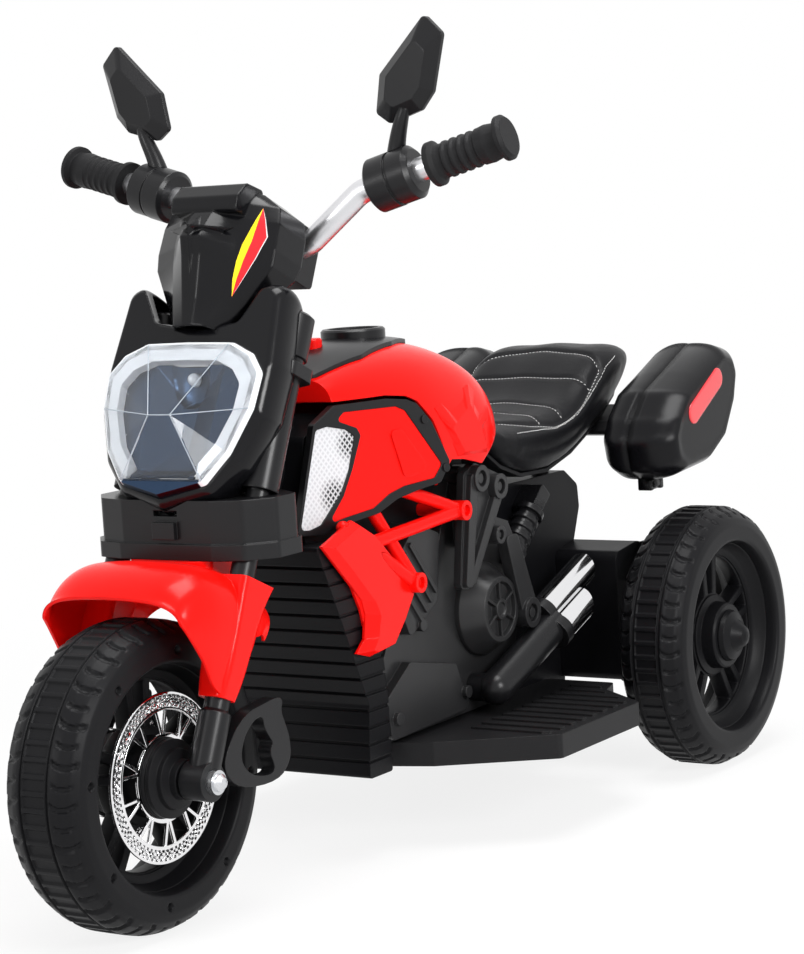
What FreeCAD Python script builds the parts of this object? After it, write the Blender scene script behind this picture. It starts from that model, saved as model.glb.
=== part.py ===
"""Ride-on electric motorbike for a child: one steered front wheel, two rear wheels.

Frame: X forward, Y to the rider's left, Z up, origin on the floor midway between the axles.
The front assembly is drawn in a raked frame whose Z is the steering axis. Sizes are millimetres.
"""
import math
import os

import FreeCAD
import Part
import Sketcher
from FreeCAD import Placement, Rotation, Vector

os.makedirs("parts", exist_ok=True)
doc = FreeCAD.newDocument("motorbike")
sheet = doc.addObject("Spreadsheet::Sheet", "dims")

SIZES = (
    ("wheel_radius", 135, "tyre outer radius of every wheel"),
    ("half_base", 366, "half the distance between front and rear axles"),
    ("front_tyre_half", 40.5, "half width of the front tyre"),
    ("rear_tyre_half", 37, "half width of a rear tyre"),
    ("rear_track_half", 174.5, "rear wheel centre plane from the middle"),
    ("rim_radius", 99, "edge of the tyre's flat side ring"),
    ("web_half", 9, "half thickness of the wheel web"),
    ("hub_radius", 34, "wheel hub outer radius"),
    ("front_hub_half", 36, "half length of the front hub"),
    ("rear_hub_half", 28, "half length of a rear hub"),
    ("tread_band_half", 13, "half width of the ribbed middle band"),
    ("tread_depth", 1.8, "depth of the tread slots"),
    ("tread_slot", 2.6, "width of one tread slot"),
    ("tread_count", 60, "slots around the tread"),
    ("spoke_pairs", 5, "pairs of spokes in a wheel"),
    ("spoke_width", 8.5, "width of one wheel spoke"),
    ("spoke_gap_low", 10, "gap inside a pair of spokes at the hub"),
    ("spoke_gap_high", 16, "gap inside a pair of spokes at the rim"),
    ("axle_radius", 6, "steel axle radius"),
    ("axle_play", 0.08, "radial play of a wheel on its axle"),
    ("disc_radius", 73.4, "brake disc outer radius"),
    ("disc_thick", 2.5, "brake disc thickness"),
    ("disc_forks", 10, "forked spokes around a brake disc"),
    ("disc_spoke", 3, "width of one arm of a forked spoke"),
    ("disc_plane", 32, "outer face of the brake disc from the middle"),
    ("hub_cap_reach", 19, "how far the stepped front hub cap stands out"),
    ("rear_cap_radius", 27, "base radius of the conical rear hub cap"),
    ("rear_cap_reach", 21.5, "how far the rear hub cap stands out of the hub"),
    ("front_axle_tip", 95, "end of the front axle nut from the middle"),
    ("rear_axle_end", 204, "end of the rear axle from the middle"),
    ("rake", 25, "steering axis lean, degrees"),
    ("fork_trail", 25, "axle ahead of the steering axis"),
    ("fork_half", 70, "fork leg axis from the middle"),
    ("leg_low_radius", 14, "lower fork casting radius"),
    ("leg_mid_radius", 11, "fork tube radius inside the sleeves and crown"),
    ("leg_top_radius", 17, "fork tube radius above the crown"),
    ("leg_cap_radius", 19.5, "fork top cap radius"),
    ("leg_top", 409, "fork cap top along the steering axis"),
    ("boss_radius", 17, "axle boss radius"),
    ("boss_length", 24, "axle boss length"),
    ("crown_bottom", 312, "underside of the fork crown box"),
    ("crown_height", 52, "height of the fork crown box"),
    ("crown_lip", 14, "height of the wider lip of the crown box"),
    ("stem_radius", 12, "steering stem radius"),
    ("stem_play", 0.1, "radial play of the stem in its bushes"),
    ("bush_wall", 4, "wall of the stem bushes"),
    ("head_radius", 26, "head tube outer radius"),
    ("head_low", 270, "head tube lower end along the steering axis"),
    ("head_high", 344, "head tube upper end along the steering axis"),
    ("bridge_low", 349, "underside of the top bridge along the axis"),
    ("bridge_thick", 12, "top bridge thickness"),
    ("bar_radius", 11, "handlebar tube radius"),
    ("bar_height", 487, "handlebar middle along the steering axis"),
    ("grip_radius", 15.5, "grip radius"),
    ("grip_flange", 20.5, "grip end flange radius"),
    ("grip_length", 76, "grip length"),
    ("housing_radius", 25, "switch housing radius"),
    ("housing_length", 46, "switch housing length"),
    ("mirror_thick", 13, "mirror head thickness"),
    ("fender_crest", 184, "fender crest radius about the axle"),
    ("fender_wall", 3, "fender wall"),
    ("fender_dip", 24, "how far the fender's front lip falls below its crest"),
    ("fender_level", -10, "angle ahead of the axle where the fender starts to fall"),
    ("fender_rows", 22, "sections along the fender arch"),
    ("sleeve_half", 17, "half width of a fender leg sleeve across the wheel"),
    ("headlight_front", 68, "front plane of the headlight ahead of the axis"),
    ("headlight_ring_wide", 19, "width of the pale ring around the lens"),
    ("ring_gap_half", 38, "half width of the gap in the ring's lower edge"),
    ("lens_rise", 20, "how far the faceted clear cover stands out"),
    ("lens_wall", 2.4, "wall of the clear cover"),
    ("shroud_depth", 44, "depth of the headlight shroud"),
    ("cowl_wall", 3, "dash cowl wall"),
    ("star_rise", 8, "how far the star facets stand out of the cowl's nose"),
    ("shell_half", 46, "half width of the main body shell"),
    ("shell_wall", 3.5, "wall of the main body shell"),
    ("belly", 84, "underside of the body shell"),
    ("radiator_half", 74, "half width of the ribbed front cover"),
    ("radiator_grooves", 13, "grooves across the front cover"),
    ("groove_depth", 2.5, "depth of a front cover groove"),
    ("tank_wall", 3, "tank cover wall"),
    ("cap_radius", 31, "filler cap radius"),
    ("button_radius", 9, "power button radius"),
    ("button_play", 0.4, "gap around the power button"),
    ("side_flare", 98, "side panel plane from the middle at mid wheelbase"),
    ("side_slope", 0.27, "how fast the side panel plane narrows forward"),
    ("trim_thick", 8, "thickness of the black side strip"),
    ("panel_thick", 6, "thickness of the red side panel"),
    ("lamp_thick", 7, "thickness of the side lamp"),
    ("peg_radius", 5, "mounting peg radius behind the side pieces"),
    ("trellis_radius", 6.5, "trellis tube radius"),
    ("trellis_boss", 9.5, "trellis end boss radius"),
    ("trellis_out", 100, "trellis boss end from the middle"),
    ("fairing_out", 84, "lower fairing outer face from the middle"),
    ("fairing_thick", 8, "lower fairing thickness"),
    ("engine_out", 72, "engine cover outer face from the middle"),
    ("clutch_radius", 46, "clutch cover base radius"),
    ("clutch_top_radius", 30, "clutch cover face radius"),
    ("clutch_rise", 26, "clutch cover height"),
    ("clutch_spokes", 6, "ribs in the clutch cover insert"),
    ("link_out", 94, "link arm outer face from the middle"),
    ("link_thick", 14, "link arm thickness"),
    ("exhaust_radius", 17, "exhaust pipe radius"),
    ("tip_wall", 2, "wall of the exhaust tips"),
    ("board_top", 103, "top of the footboards"),
    ("board_thick", 23, "footboard thickness"),
    ("board_ribs", 11, "ribs on a footboard"),
    ("rib_high", 2, "footboard rib height"),
    ("pedal_gap", 0.6, "gap between the pedal and the board"),
    ("pedal_pin", 2, "pedal hinge pin radius"),
    ("seat_wall", 4, "seat pan thickness"),
    ("sleeve_rings", 4, "ring ridges around a rear shock sleeve"),
    ("sleeve_ridge", 2.2, "how far a ridge stands out of the shock sleeve"),
    ("sleeve_radius", 12, "shock sleeve radius between its ridges"),
    ("sleeve_length", 44, "shock sleeve length"),
    ("damper_radius", 8, "shock rod radius inside the sleeve"),
    ("cover_half", 118, "half width of the rear axle cover"),
    ("cover_wall", 3, "rear axle cover wall"),
    ("bag_seam", 137, "parting plane of the side cases from the middle"),
    ("bag_inner", 104, "inner face of the side cases"),
    ("bag_outer", 186, "outer face of the side cases"),
    ("bag_wall", 3, "side case wall"),
    ("bag_gap", 0.4, "gap between a case and its lid"),
    ("hinge_radius", 3, "side case hinge pin radius"),
    ("hinge_gap", 0.35, "gap around the side case hinge pin"),
    ("battery_long", 150, "battery length"),
    ("battery_wide", 65, "battery width"),
    ("battery_high", 94, "battery height"),
)
for row, (name, value, note) in enumerate(SIZES, 1):
    sheet.set("A%d" % row, note)
    sheet.set("B%d" % row, str(value))
    sheet.setAlias("B%d" % row, name)
doc.recompute()


def v(name):
    """Value of one named size."""
    return float(sheet.get(name))


def corners(points, radius):
    """Lines and arcs of a closed flat outline whose corners are rounded by one radius."""
    flat = [Vector(p[0], p[1], 0) for p in points]
    entries = []
    for i, here in enumerate(flat):
        before = (flat[i - 1] - here)
        after = (flat[(i + 1) % len(flat)] - here)
        turn = before.getAngle(after)
        reach = min(radius / math.tan(turn / 2), 0.45 * before.Length, 0.45 * after.Length)
        start = here + before.normalize() * reach
        end = here + after.normalize() * reach
        depth = reach * math.tan(turn / 2)
        middle = here + (before + after).normalize() * (depth / math.sin(turn / 2) - depth)
        entries.append((start, middle, end))
    curves = []
    for i, (start, middle, end) in enumerate(entries):
        curves.append(Part.Arc(start, middle, end))
        following = entries[(i + 1) % len(entries)][0]
        if (following - end).Length > 1e-4:
            curves.append(Part.LineSegment(end, following))
    return curves


def straight(points):
    """Lines of a closed flat outline with sharp corners."""
    flat = [Vector(p[0], p[1], 0) for p in points]
    return [Part.LineSegment(a, b) for a, b in zip(flat, flat[1:] + flat[:1])]


def face_of(points, radius=0):
    """Flat face of an outline in the XY plane."""
    curves = corners(points, radius) if radius else straight(points)
    return Part.Face(Part.Wire([c.toShape() for c in curves]))


def side_prism(points, radius, low, high):
    """Solid with an outline in X and Z, between two distances to the left."""
    flat = face_of(points, radius)
    flat.Placement = Placement(Vector(0, low, 0), Rotation(Vector(1, 0, 0), 90))
    return flat.extrude(Vector(0, high - low, 0))


def body(label):
    """New body for one sub-part."""
    return doc.addObject("PartDesign::Body", label)


def origin_part(owner, role):
    """Origin plane or axis of a body."""
    return [f for f in owner.Origin.OriginFeatures if f.Role == role][0]


def sketch(owner, role, curves=(), rings=()):
    """Sketch on an origin plane: curves plus circles whose radius is a named size."""
    drawn = owner.newObject("Sketcher::SketchObject", owner.Name + "_sketch")
    drawn.AttachmentSupport = (origin_part(owner, role), "")
    drawn.MapMode = "FlatFace"
    for curve in curves:
        drawn.addGeometry(curve)
    for u, w, size in rings:
        index = drawn.addGeometry(Part.Circle(Vector(u, w, 0), Vector(0, 0, 1), 10))
        bound = drawn.addConstraint(Sketcher.Constraint("Radius", index, 10))
        drawn.setExpression("Constraints[%d]" % bound, size)
        drawn.addConstraint(Sketcher.Constraint("DistanceX", -1, 1, index, 3, u))
        drawn.addConstraint(Sketcher.Constraint("DistanceY", -1, 1, index, 3, w))
    return drawn


def pad(owner, drawn, length, middle=False):
    """Pad of a sketch by a bound length."""
    feature = owner.newObject("PartDesign::Pad", owner.Name + "_pad")
    feature.Profile = drawn
    feature.Midplane = middle
    feature.setExpression("Length", length)
    return feature


def pocket(owner, drawn, length, middle=True):
    """Pocket of a sketch by a bound length."""
    feature = owner.newObject("PartDesign::Pocket", owner.Name + "_pocket")
    feature.Profile = drawn
    feature.Midplane = middle
    feature.setExpression("Length", length)
    return feature


def revolve(owner, drawn):
    """Full turn of a sketch about its vertical axis."""
    feature = owner.newObject("PartDesign::Revolution", owner.Name + "_turn")
    feature.Profile = drawn
    feature.ReferenceAxis = (drawn, ["V_Axis"])
    feature.Angle = 360
    return feature


def ring_of(owner, feature, role, count):
    """Even ring of a feature about an origin axis."""
    pattern = owner.newObject("PartDesign::PolarPattern", owner.Name + "_ring")
    pattern.Originals = [feature]
    pattern.Axis = (origin_part(owner, role), [""])
    pattern.Angle = 360
    pattern.setExpression("Occurrences", count)
    owner.Tip = pattern
    return pattern


def place(thing, **where):
    """Binds the position of an object to expressions."""
    for axis, expression in where.items():
        thing.setExpression("Placement.Base." + axis, expression)


def built(label, shape):
    """Sub-part whose form has no sketch of its own."""
    thing = doc.addObject("Part::Feature", label)
    thing.Shape = shape
    return thing


def mirrored(label, source):
    """The same piece on the rider's right."""
    thing = doc.addObject("Part::Mirroring", label)
    thing.Source = source
    thing.Normal = Vector(0, 1, 0)
    thing.Base = Vector(0, 0, 0)
    return thing


def together(label, *things):
    """Several solids that share one node."""
    thing = doc.addObject("Part::Compound", label)
    thing.Links = list(things)
    return thing


def joined(label, *things):
    """One solid from pieces that touch."""
    thing = doc.addObject("Part::MultiFuse", label)
    thing.Shapes = list(things)
    return thing


def cut(label, base, *tools):
    """One solid with the room of other pieces taken out."""
    thing = doc.addObject("Part::Cut", label)
    thing.Base = base
    thing.Tool = tools[0] if len(tools) == 1 else together(label + "_tools", *tools)
    return thing


def rod(label, radius, length, start, direction):
    """Round bar with a bound radius and length."""
    thing = doc.addObject("Part::Cylinder", label)
    thing.setExpression("Radius", radius)
    thing.setExpression("Height", length)
    thing.Placement = Placement(Vector(*start), Rotation(Vector(0, 0, 1), Vector(*direction)))
    return thing


def box(label, size, start):
    """Block from its low corner."""
    thing = doc.addObject("Part::Box", label)
    thing.Length, thing.Width, thing.Height = size
    thing.Placement.Base = Vector(*start)
    return thing


def loft(wires, ruled=False):
    """Solid through a row of closed wires."""
    return Part.makeLoft(wires, True, ruled)


def tube(start, end, radius):
    """Round solid between two points."""
    run = Vector(*end) - Vector(*start)
    return Part.makeCylinder(radius, run.Length, Vector(*start), run)


def bent_tube(points, radius, bend):
    """Round solid along straight runs joined by bends of one radius."""
    line = [Vector(*p) for p in points]
    pieces = []
    start = line[0]
    for i in range(1, len(line) - 1):
        back = (line[i - 1] - line[i]).normalize()
        ahead = (line[i + 1] - line[i]).normalize()
        turn = back.getAngle(ahead)
        reach = bend / math.tan(turn / 2)
        enter = line[i] + back * reach
        centre = line[i] + (back + ahead).normalize() * (bend / math.sin(turn / 2))
        pieces.append(tube(start, enter, radius))
        ring = Part.Face(Part.Wire(Part.makeCircle(radius, enter, back)))
        pieces.append(ring.revolve(centre, ahead.cross(back), 180 - math.degrees(turn)))
        start = line[i] + ahead * reach
    pieces.append(tube(start, line[-1], radius))
    return pieces[0].fuse(pieces[1:]).removeSplitter()


parts = []


def keep(*things):
    """Marks finished sub-parts for the files."""
    parts.extend(things)


# Wheels: black moulded wheels turned about their axle, with a ribbed middle band between two
# grooves, a flat side ring, a recessed rim and windows through the web.
def wheel(label, half, hub_half):
    """Wheel turned about Y; half and hub_half name the tyre and hub widths."""
    owner = body(label)
    radius = v("wheel_radius")
    edge = v(half)
    band = v("tread_band_half")
    deep = v("tread_depth")
    side = [
        (radius, band),
        (radius - 1.4 * deep, band),
        (radius - 1.4 * deep, band + v("tread_slot")),
        (radius - 0.4, band + v("tread_slot")),
        (radius - 2.2, edge - 15),
        (radius - 8, edge - 4.5),
        (radius - 18, edge),
        (v("rim_radius"), edge),
        (v("rim_radius") - 3, edge - 12),
        (v("rim_radius") - 9, v("web_half") + 4),
        (v("rim_radius") - 13, v("web_half")),
        (v("hub_radius") + 3, v("web_half")),
        (v("hub_radius"), v("web_half") + 3),
        (v("hub_radius"), v(hub_half)),
        (v("axle_radius") + v("axle_play"), v(hub_half)),
    ]
    profile = side + [(r, -y) for r, y in reversed(side)]
    revolve(owner, sketch(owner, "XY_Plane", straight(profile)))
    slot = v("tread_slot") / 2
    mark = [(-slot, radius - deep), (slot, radius - deep), (slot, radius + 2), (-slot, radius + 2)]
    ring_of(owner, pocket(owner, sketch(owner, "XZ_Plane", straight(mark)), "2 * dims.tread_band_half"),
            "Y_Axis", "dims.tread_count")
    low = v("hub_radius") + 10
    high = v("rim_radius") - 17
    near = v("spoke_gap_low") / 2
    far = v("spoke_gap_high") / 2
    slim = [(-near, low), (near, low), (far, high), (-far, high)]
    ring_of(owner, pocket(owner, sketch(owner, "XZ_Plane", corners(slim, 2)), "4 * dims.web_half"),
            "Y_Axis", "dims.spoke_pairs")
    sector = math.pi / v("spoke_pairs")
    near_turn = sector - (near + v("spoke_width")) / low
    far_turn = sector - (far + v("spoke_width")) / high
    wide_gap = [(low * math.sin(k * near_turn), low * math.cos(k * near_turn)) for k in (-1, 1)]
    wide_gap += [(high * math.sin(k * far_turn), high * math.cos(k * far_turn))
                 for k in (1, 0.34, -0.34, -1)]
    turned = [(x * math.cos(sector) + z * math.sin(sector),
               z * math.cos(sector) - x * math.sin(sector)) for x, z in wide_gap]
    ring_of(owner, pocket(owner, sketch(owner, "XZ_Plane", corners(turned, 4)), "4 * dims.web_half"),
            "Y_Axis", "dims.spoke_pairs")
    return owner


front_wheel = wheel("front_wheel", "front_tyre_half", "front_hub_half")
place(front_wheel, x="dims.half_base", z="dims.wheel_radius")
rear_wheel_left = wheel("rear_wheel_left", "rear_tyre_half", "rear_hub_half")
place(rear_wheel_left, x="-dims.half_base", y="dims.rear_track_half", z="dims.wheel_radius")
rear_wheel_right = mirrored("rear_wheel_right", rear_wheel_left)
keep(front_wheel, rear_wheel_left, rear_wheel_right)

# Brake discs: bright slotted rings pressed over the front hub, one each side.
disc = body("brake_disc")
pad(disc, sketch(disc, "XZ_Plane", (), ((0, 0, "dims.disc_radius"), (0, 0, "dims.hub_radius"))),
    "dims.disc_thick")
slot_low = v("hub_radius") + 4.5
slot_high = v("disc_radius") - 15.4
fork_half_angle = math.pi / v("disc_forks")
fork_mark = [(-0.6, slot_low + 6), (0.6, slot_low + 6), (5.2, slot_high), (-5.2, slot_high)]
ring_of(disc, pocket(disc, sketch(disc, "XZ_Plane", corners(fork_mark, 0.5)), "4 * dims.disc_thick"),
        "Y_Axis", "dims.disc_forks")
low_turn = fork_half_angle - (v("disc_spoke") + 0.6) / slot_low
high_turn = fork_half_angle - (v("disc_spoke") + 5.2) / slot_high
slot_mark = [(slot_low * math.sin(k * low_turn + fork_half_angle),
              slot_low * math.cos(k * low_turn + fork_half_angle)) for k in (-1, 1)]
slot_mark += [(slot_high * math.sin(k * high_turn + fork_half_angle),
               slot_high * math.cos(k * high_turn + fork_half_angle)) for k in (1, -1)]
ring_of(disc, pocket(disc, sketch(disc, "XZ_Plane", corners(slot_mark, 1.2)), "4 * dims.disc_thick"),
        "Y_Axis", "dims.disc_forks")
place(disc, x="dims.half_base", y="dims.disc_plane", z="dims.wheel_radius")
keep(together("brake_discs", disc, mirrored("brake_disc_right", disc)))

# Front hub caps: stepped cones between the hub and the fork.
cap = body("front_hub_cap")
reach = v("hub_cap_reach")
bore = v("axle_radius") + v("axle_play")
steps = [(bore, 0), (v("hub_radius"), 0), (v("hub_radius"), 0.2 * reach),
         (0.78 * v("hub_radius"), 0.32 * reach), (0.76 * v("hub_radius"), 0.55 * reach),
         (0.52 * v("hub_radius"), 0.66 * reach), (0.5 * v("hub_radius"), reach), (bore, reach)]
revolve(cap, sketch(cap, "XY_Plane", straight(steps)))
place(cap, x="dims.half_base", y="dims.front_hub_half", z="dims.wheel_radius")
keep(together("front_hub_caps", cap, mirrored("front_hub_cap_right", cap)))

# Rear hub caps: hollow cones that close the hub and hide the axle end.
rear_cap = body("rear_hub_cap_left")
cone_out = v("rear_cap_reach")
cone_wide = v("rear_cap_radius")
cone = [(0, cone_out), (4, cone_out - 0.6), (0.34 * cone_wide, 0.86 * cone_out),
        (0.62 * cone_wide, 0.42 * cone_out), (0.93 * cone_wide, 0.25 * cone_out), (cone_wide, 0),
        (cone_wide - 4, 0), (0.45 * cone_wide, 0.3 * cone_out), (0.2 * cone_wide, 0.62 * cone_out),
        (0, 0.7 * cone_out)]
revolve(rear_cap, sketch(rear_cap, "XY_Plane", straight(cone)))
place(rear_cap, x="-dims.half_base", y="dims.rear_track_half + dims.rear_hub_half", z="dims.wheel_radius")
keep(rear_cap, mirrored("rear_hub_cap_right", rear_cap))

# Axles: the front one ends in acorn nuts, the rear one runs through both wheels.
axle = body("front_axle")
tip = v("front_axle_tip")
nut = [(0, tip), (4.5, tip - 1.2), (7.5, tip - 4.5), (8, tip - 7), (10.5, tip - 7), (10.5, tip - 13),
       (v("axle_radius"), tip - 13)]
revolve(axle, sketch(axle, "XY_Plane",
                     straight(nut + [(r, -y) for r, y in reversed(nut)][:-1] + [(0, -tip)])))
place(axle, x="dims.half_base", z="dims.wheel_radius")
rear_axle = rod("rear_axle", "dims.axle_radius", "2 * dims.rear_axle_end",
                (-v("half_base"), -v("rear_axle_end"), v("wheel_radius")), (0, 1, 0))
keep(axle, rear_axle)

# Raked frame of the steered assembly: origin beside the front axle, Z along the steering axis.
lean = math.radians(v("rake"))
axis_x = v("half_base") - v("fork_trail")
raked = Placement(Vector(axis_x, 0, v("wheel_radius")), Rotation(Vector(0, 1, 0), -v("rake")))
leg_ahead = v("fork_trail") * math.cos(lean)
leg_foot = -v("fork_trail") * math.sin(lean)


def in_rake(thing, ahead=0.0, left=0.0, up=0.0):
    """Puts a piece drawn about its own Z axis into the raked frame."""
    thing.Placement = raked.multiply(Placement(Vector(ahead, left, up), Rotation()))
    return thing


# Fork legs: stepped tubes with a lower casting, an axle boss and a wide top cap.
leg = body("fork_leg_tube")
sleeve_top = v("crown_bottom") + v("crown_height")
step_top = (sleeve_top - v("wheel_radius")) / math.cos(lean) - leg_ahead * math.tan(lean) + 3
leg_mark = [(0, leg_foot), (v("leg_low_radius"), leg_foot), (v("leg_low_radius"), 48),
            (v("leg_mid_radius"), 51), (v("leg_mid_radius"), step_top), (v("leg_top_radius"), step_top),
            (v("leg_top_radius"), v("leg_top") - 42), (v("leg_cap_radius"), v("leg_top") - 41),
            (v("leg_cap_radius"), v("leg_top") - 3), (v("leg_cap_radius") - 4, v("leg_top")),
            (0, v("leg_top"))]
revolve(leg, sketch(leg, "XZ_Plane", straight(leg_mark)))
in_rake(leg, leg_ahead, v("fork_half"))
boss = rod("axle_boss", "dims.boss_radius", "dims.boss_length",
           (v("half_base"), tip - 13, v("wheel_radius")), (0, -1, 0))
leg_left = cut("fork_leg_left", joined("leg_and_boss", leg, boss), axle)
leg_right = mirrored("fork_leg_right", leg_left)
keep(together("fork_legs", leg_left, leg_right))

# Fork crown: the satin box under the headlight that clamps both legs and the stem.
crown = body("crown_box")
plan = [(302, 48), (294, 77), (270, 97), (240, 97), (222, 68), (222, -68), (240, -97), (270, -97),
        (294, -77), (302, -48)]
pad(crown, sketch(crown, "XY_Plane", corners(plan, 8)), "dims.crown_height")
lip_plan = [(x + math.copysign(3, x - 262), y + math.copysign(2, y)) for x, y in plan]
pad(crown, sketch(crown, "XY_Plane", corners(lip_plan, 8)), "dims.crown_lip")
place(crown, z="dims.crown_bottom")
stem = doc.addObject("Part::Cylinder", "steering_stem")
stem.setExpression("Radius", "dims.stem_radius")
stem.Height = v("bar_height") - 18 - 205
in_rake(stem, 0, 0, 205)
latch = box("crown_latch", (8, 24, 15), (299, -12, v("crown_bottom") + 18))
slot_cut = box("crown_slot", (12, 26, 5), (294, -13, v("crown_bottom") + 38))
crown_part = cut("fork_crown", joined("crown_and_latch", crown, latch), leg_left, leg_right, stem, slot_cut)
keep(crown_part, stem)

# Top bridge: plate above the head tube that ties the stem to both fork tubes.
bridge = body("bridge_plate")
bridge_plan = [(40, 92), (6, 92), (-22, 26), (-22, -26), (6, -92), (40, -92), (44, -30), (44, 30)]
pad(bridge, sketch(bridge, "XY_Plane", corners(bridge_plan, 8)), "dims.bridge_thick")
in_rake(bridge, 0, 0, v("bridge_low"))
bridge_part = cut("top_bridge", bridge, leg_left, leg_right, stem)
keep(bridge_part)

# Brake calipers: curved arms behind the lower legs, reaching down beside the disc.
arm = [(336, 184), (256, 184), (238, 152), (243, 106), (262, 100), (268, 140), (285, 162), (342, 160)]
caliper = built("caliper_arm", side_prism(arm, 6, 64, 80))
caliper_left = cut("brake_caliper_left", caliper, leg_left)
keep(together("brake_calipers", caliper_left, mirrored("brake_caliper_right", caliper_left)))


# Front fender: a crowned arch over the wheel whose edges sweep down into two sleeves on the fork
# legs, with a raised block up to the crown.
FENDER = ((8, 76, 46), (3, 78, 66), (-4, 80, 90), (-12, 82, 108), (-22, 83, 112), (-33, 80, 76),
          (-44, 72, 42))


def fender_ring(ahead, half, drop):
    """Crowned section in a plane through the axle, from its angle ahead, half width and edge depth."""
    crest = v("fender_crest")
    wall = v("fender_wall")
    turn = math.radians(ahead)
    foot = crest - drop
    fall = max(0, ahead - v("fender_level")) / (FENDER[0][0] - v("fender_level"))
    crest -= v("fender_dip") * fall ** 2

    def run(reach, top, crown):
        """Points over the crown from edge to edge."""
        share = ((0.4, 0.04), (0.72, 0.18), (0.92, 0.5), (0.985, 0.8))
        side = [(k * reach, top - d * crown) for k, d in share] + [(reach, foot)]
        line = [(-y, r) for y, r in reversed(side)] + [(0, top)] + side
        return [Vector(v("half_base") + r * math.sin(turn), y,
                       v("wheel_radius") + r * math.cos(turn)) for y, r in line]

    crown = min(crest - foot, 34)
    outer = run(half, crest, crown)
    inner = run(half - wall, crest - wall, min(crown, crest - foot - wall))[::-1]
    edges = []
    for line in (outer, inner):
        curve = Part.BSplineCurve()
        curve.interpolate(line)
        edges.append(curve.toShape())
    return Part.Wire([edges[0], Part.makeLine(outer[-1], inner[0]), edges[1],
                      Part.makeLine(inner[-1], outer[0])])


def fender_shape():
    """Arch, sleeves and block before the fork legs are taken out."""
    path = Part.BSplineCurve()
    path.interpolate([Vector(*row) for row in FENDER])
    count = int(v("fender_rows"))
    pace = (path.LastParameter - path.FirstParameter) / (count - 1)
    solids = [loft([fender_ring(*path.value(path.FirstParameter + pace * i)) for i in range(count)])]
    for turn in (1, -1):
        middle = turn * v("fork_half")
        wires = []
        for up, ahead, length, width in ((60, 2, 12, 0.8), (84, 1, 14, 0.95), (130, -1, 17, 1),
                                         (166, -6, 23, 1)):
            side = width * v("sleeve_half")
            outline = corners([(ahead - length, -side), (ahead + length, -side), (ahead + length, side),
                               (ahead - length, side)], 6)
            wire = Part.Wire([c.toShape() for c in outline])
            wire.Placement = raked.multiply(Placement(Vector(leg_ahead, middle, up), Rotation()))
            wires.append(wire)
        solids.append(loft(wires))
    block = face_of([(252, -46), (300, -44), (312, -30), (312, 30), (300, 44), (252, 46)],
                    9).extrude(Vector(0, 0, 30))
    block.translate(Vector(0, 0, v("crown_bottom") - 30))
    solids.append(block)
    room = Part.makeCylinder(v("fender_crest") - 38, 400,
                             Vector(v("half_base"), -200, v("wheel_radius")), Vector(0, 1, 0))
    clear = v("fork_half") - v("sleeve_half")
    slim = Part.makeBox(600, 2 * clear, 400, Vector(100, -clear, 0))
    return solids[0].fuse(solids[1:]).cut(room.common(slim))


fender = cut("front_fender", built("fender_blank", fender_shape()), leg_left, leg_right)
keep(fender)

# Handlebar: bent bright tube with swept-up ends, held by a clamp block on top of the stem.
bar_rise = Vector(-3, 98, 48)
bar_end = Vector(-1, 240, 90)
bar_bends = [Vector(-11, 44, 0), bar_rise, bar_end]
bar_line = [Vector(p.x, -p.y, p.z) for p in reversed(bar_bends)] + bar_bends
bar = built("handlebar", bent_tube(bar_line, v("bar_radius"), 26))
in_rake(bar, 0, 0, v("bar_height"))
clamp = body("clamp_block")
pad(clamp, sketch(clamp, "XZ_Plane",
                  corners([(-32, -34), (17, -34), (17, 4), (4, 19), (-26, 19), (-32, 10)], 5)), "84",
    True)
in_rake(clamp, 0, 0, v("bar_height"))
clamp_part = cut("handlebar_clamp", clamp, bar, stem)
keep(bar, clamp_part)


bar_way = (bar_end - bar_rise).normalize()


def along_bar(thing, left):
    """Puts a turned piece on the straight left bar end, at a distance from the middle."""
    low = bar_rise + bar_way * ((left - bar_rise.y) / bar_way.y)
    low.z += v("bar_height")
    thing.Placement = raked.multiply(Placement(low, Rotation(Vector(0, 0, 1), bar_way)))
    return thing


# Grips: soft sleeves with ring ridges, a palm swell and a flange at each end.
grip = body("grip_left")
grip_long = v("grip_length")
grip_thick = v("grip_radius")
grip_floor = (bar_end.y - 171) / bar_way.y
grip_mark = [(v("bar_radius"), 0), (v("grip_flange"), 0), (v("grip_flange"), 5), (grip_thick + 1, 8)]
for ridge in range(5):
    low = 12 + ridge * 0.11 * grip_long
    grip_mark += [(grip_thick, low), (grip_thick, low + 3), (grip_thick + 1.2, low + 4.2),
                  (grip_thick + 1.2, low + 6)]
grip_mark += [(grip_thick + 1.8, 0.76 * grip_long), (grip_thick, grip_long - 7),
              (v("grip_flange"), grip_long - 5), (v("grip_flange"), grip_long - 1),
              (v("grip_flange") - 3, grip_long + 2), (0, grip_long + 2), (0, grip_floor),
              (v("bar_radius"), grip_floor)]
revolve(grip, sketch(grip, "XZ_Plane", straight(grip_mark)))
along_bar(grip, 171)
grip_left = grip
keep(together("grips", grip_left, mirrored("grip_right", grip_left)))

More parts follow.
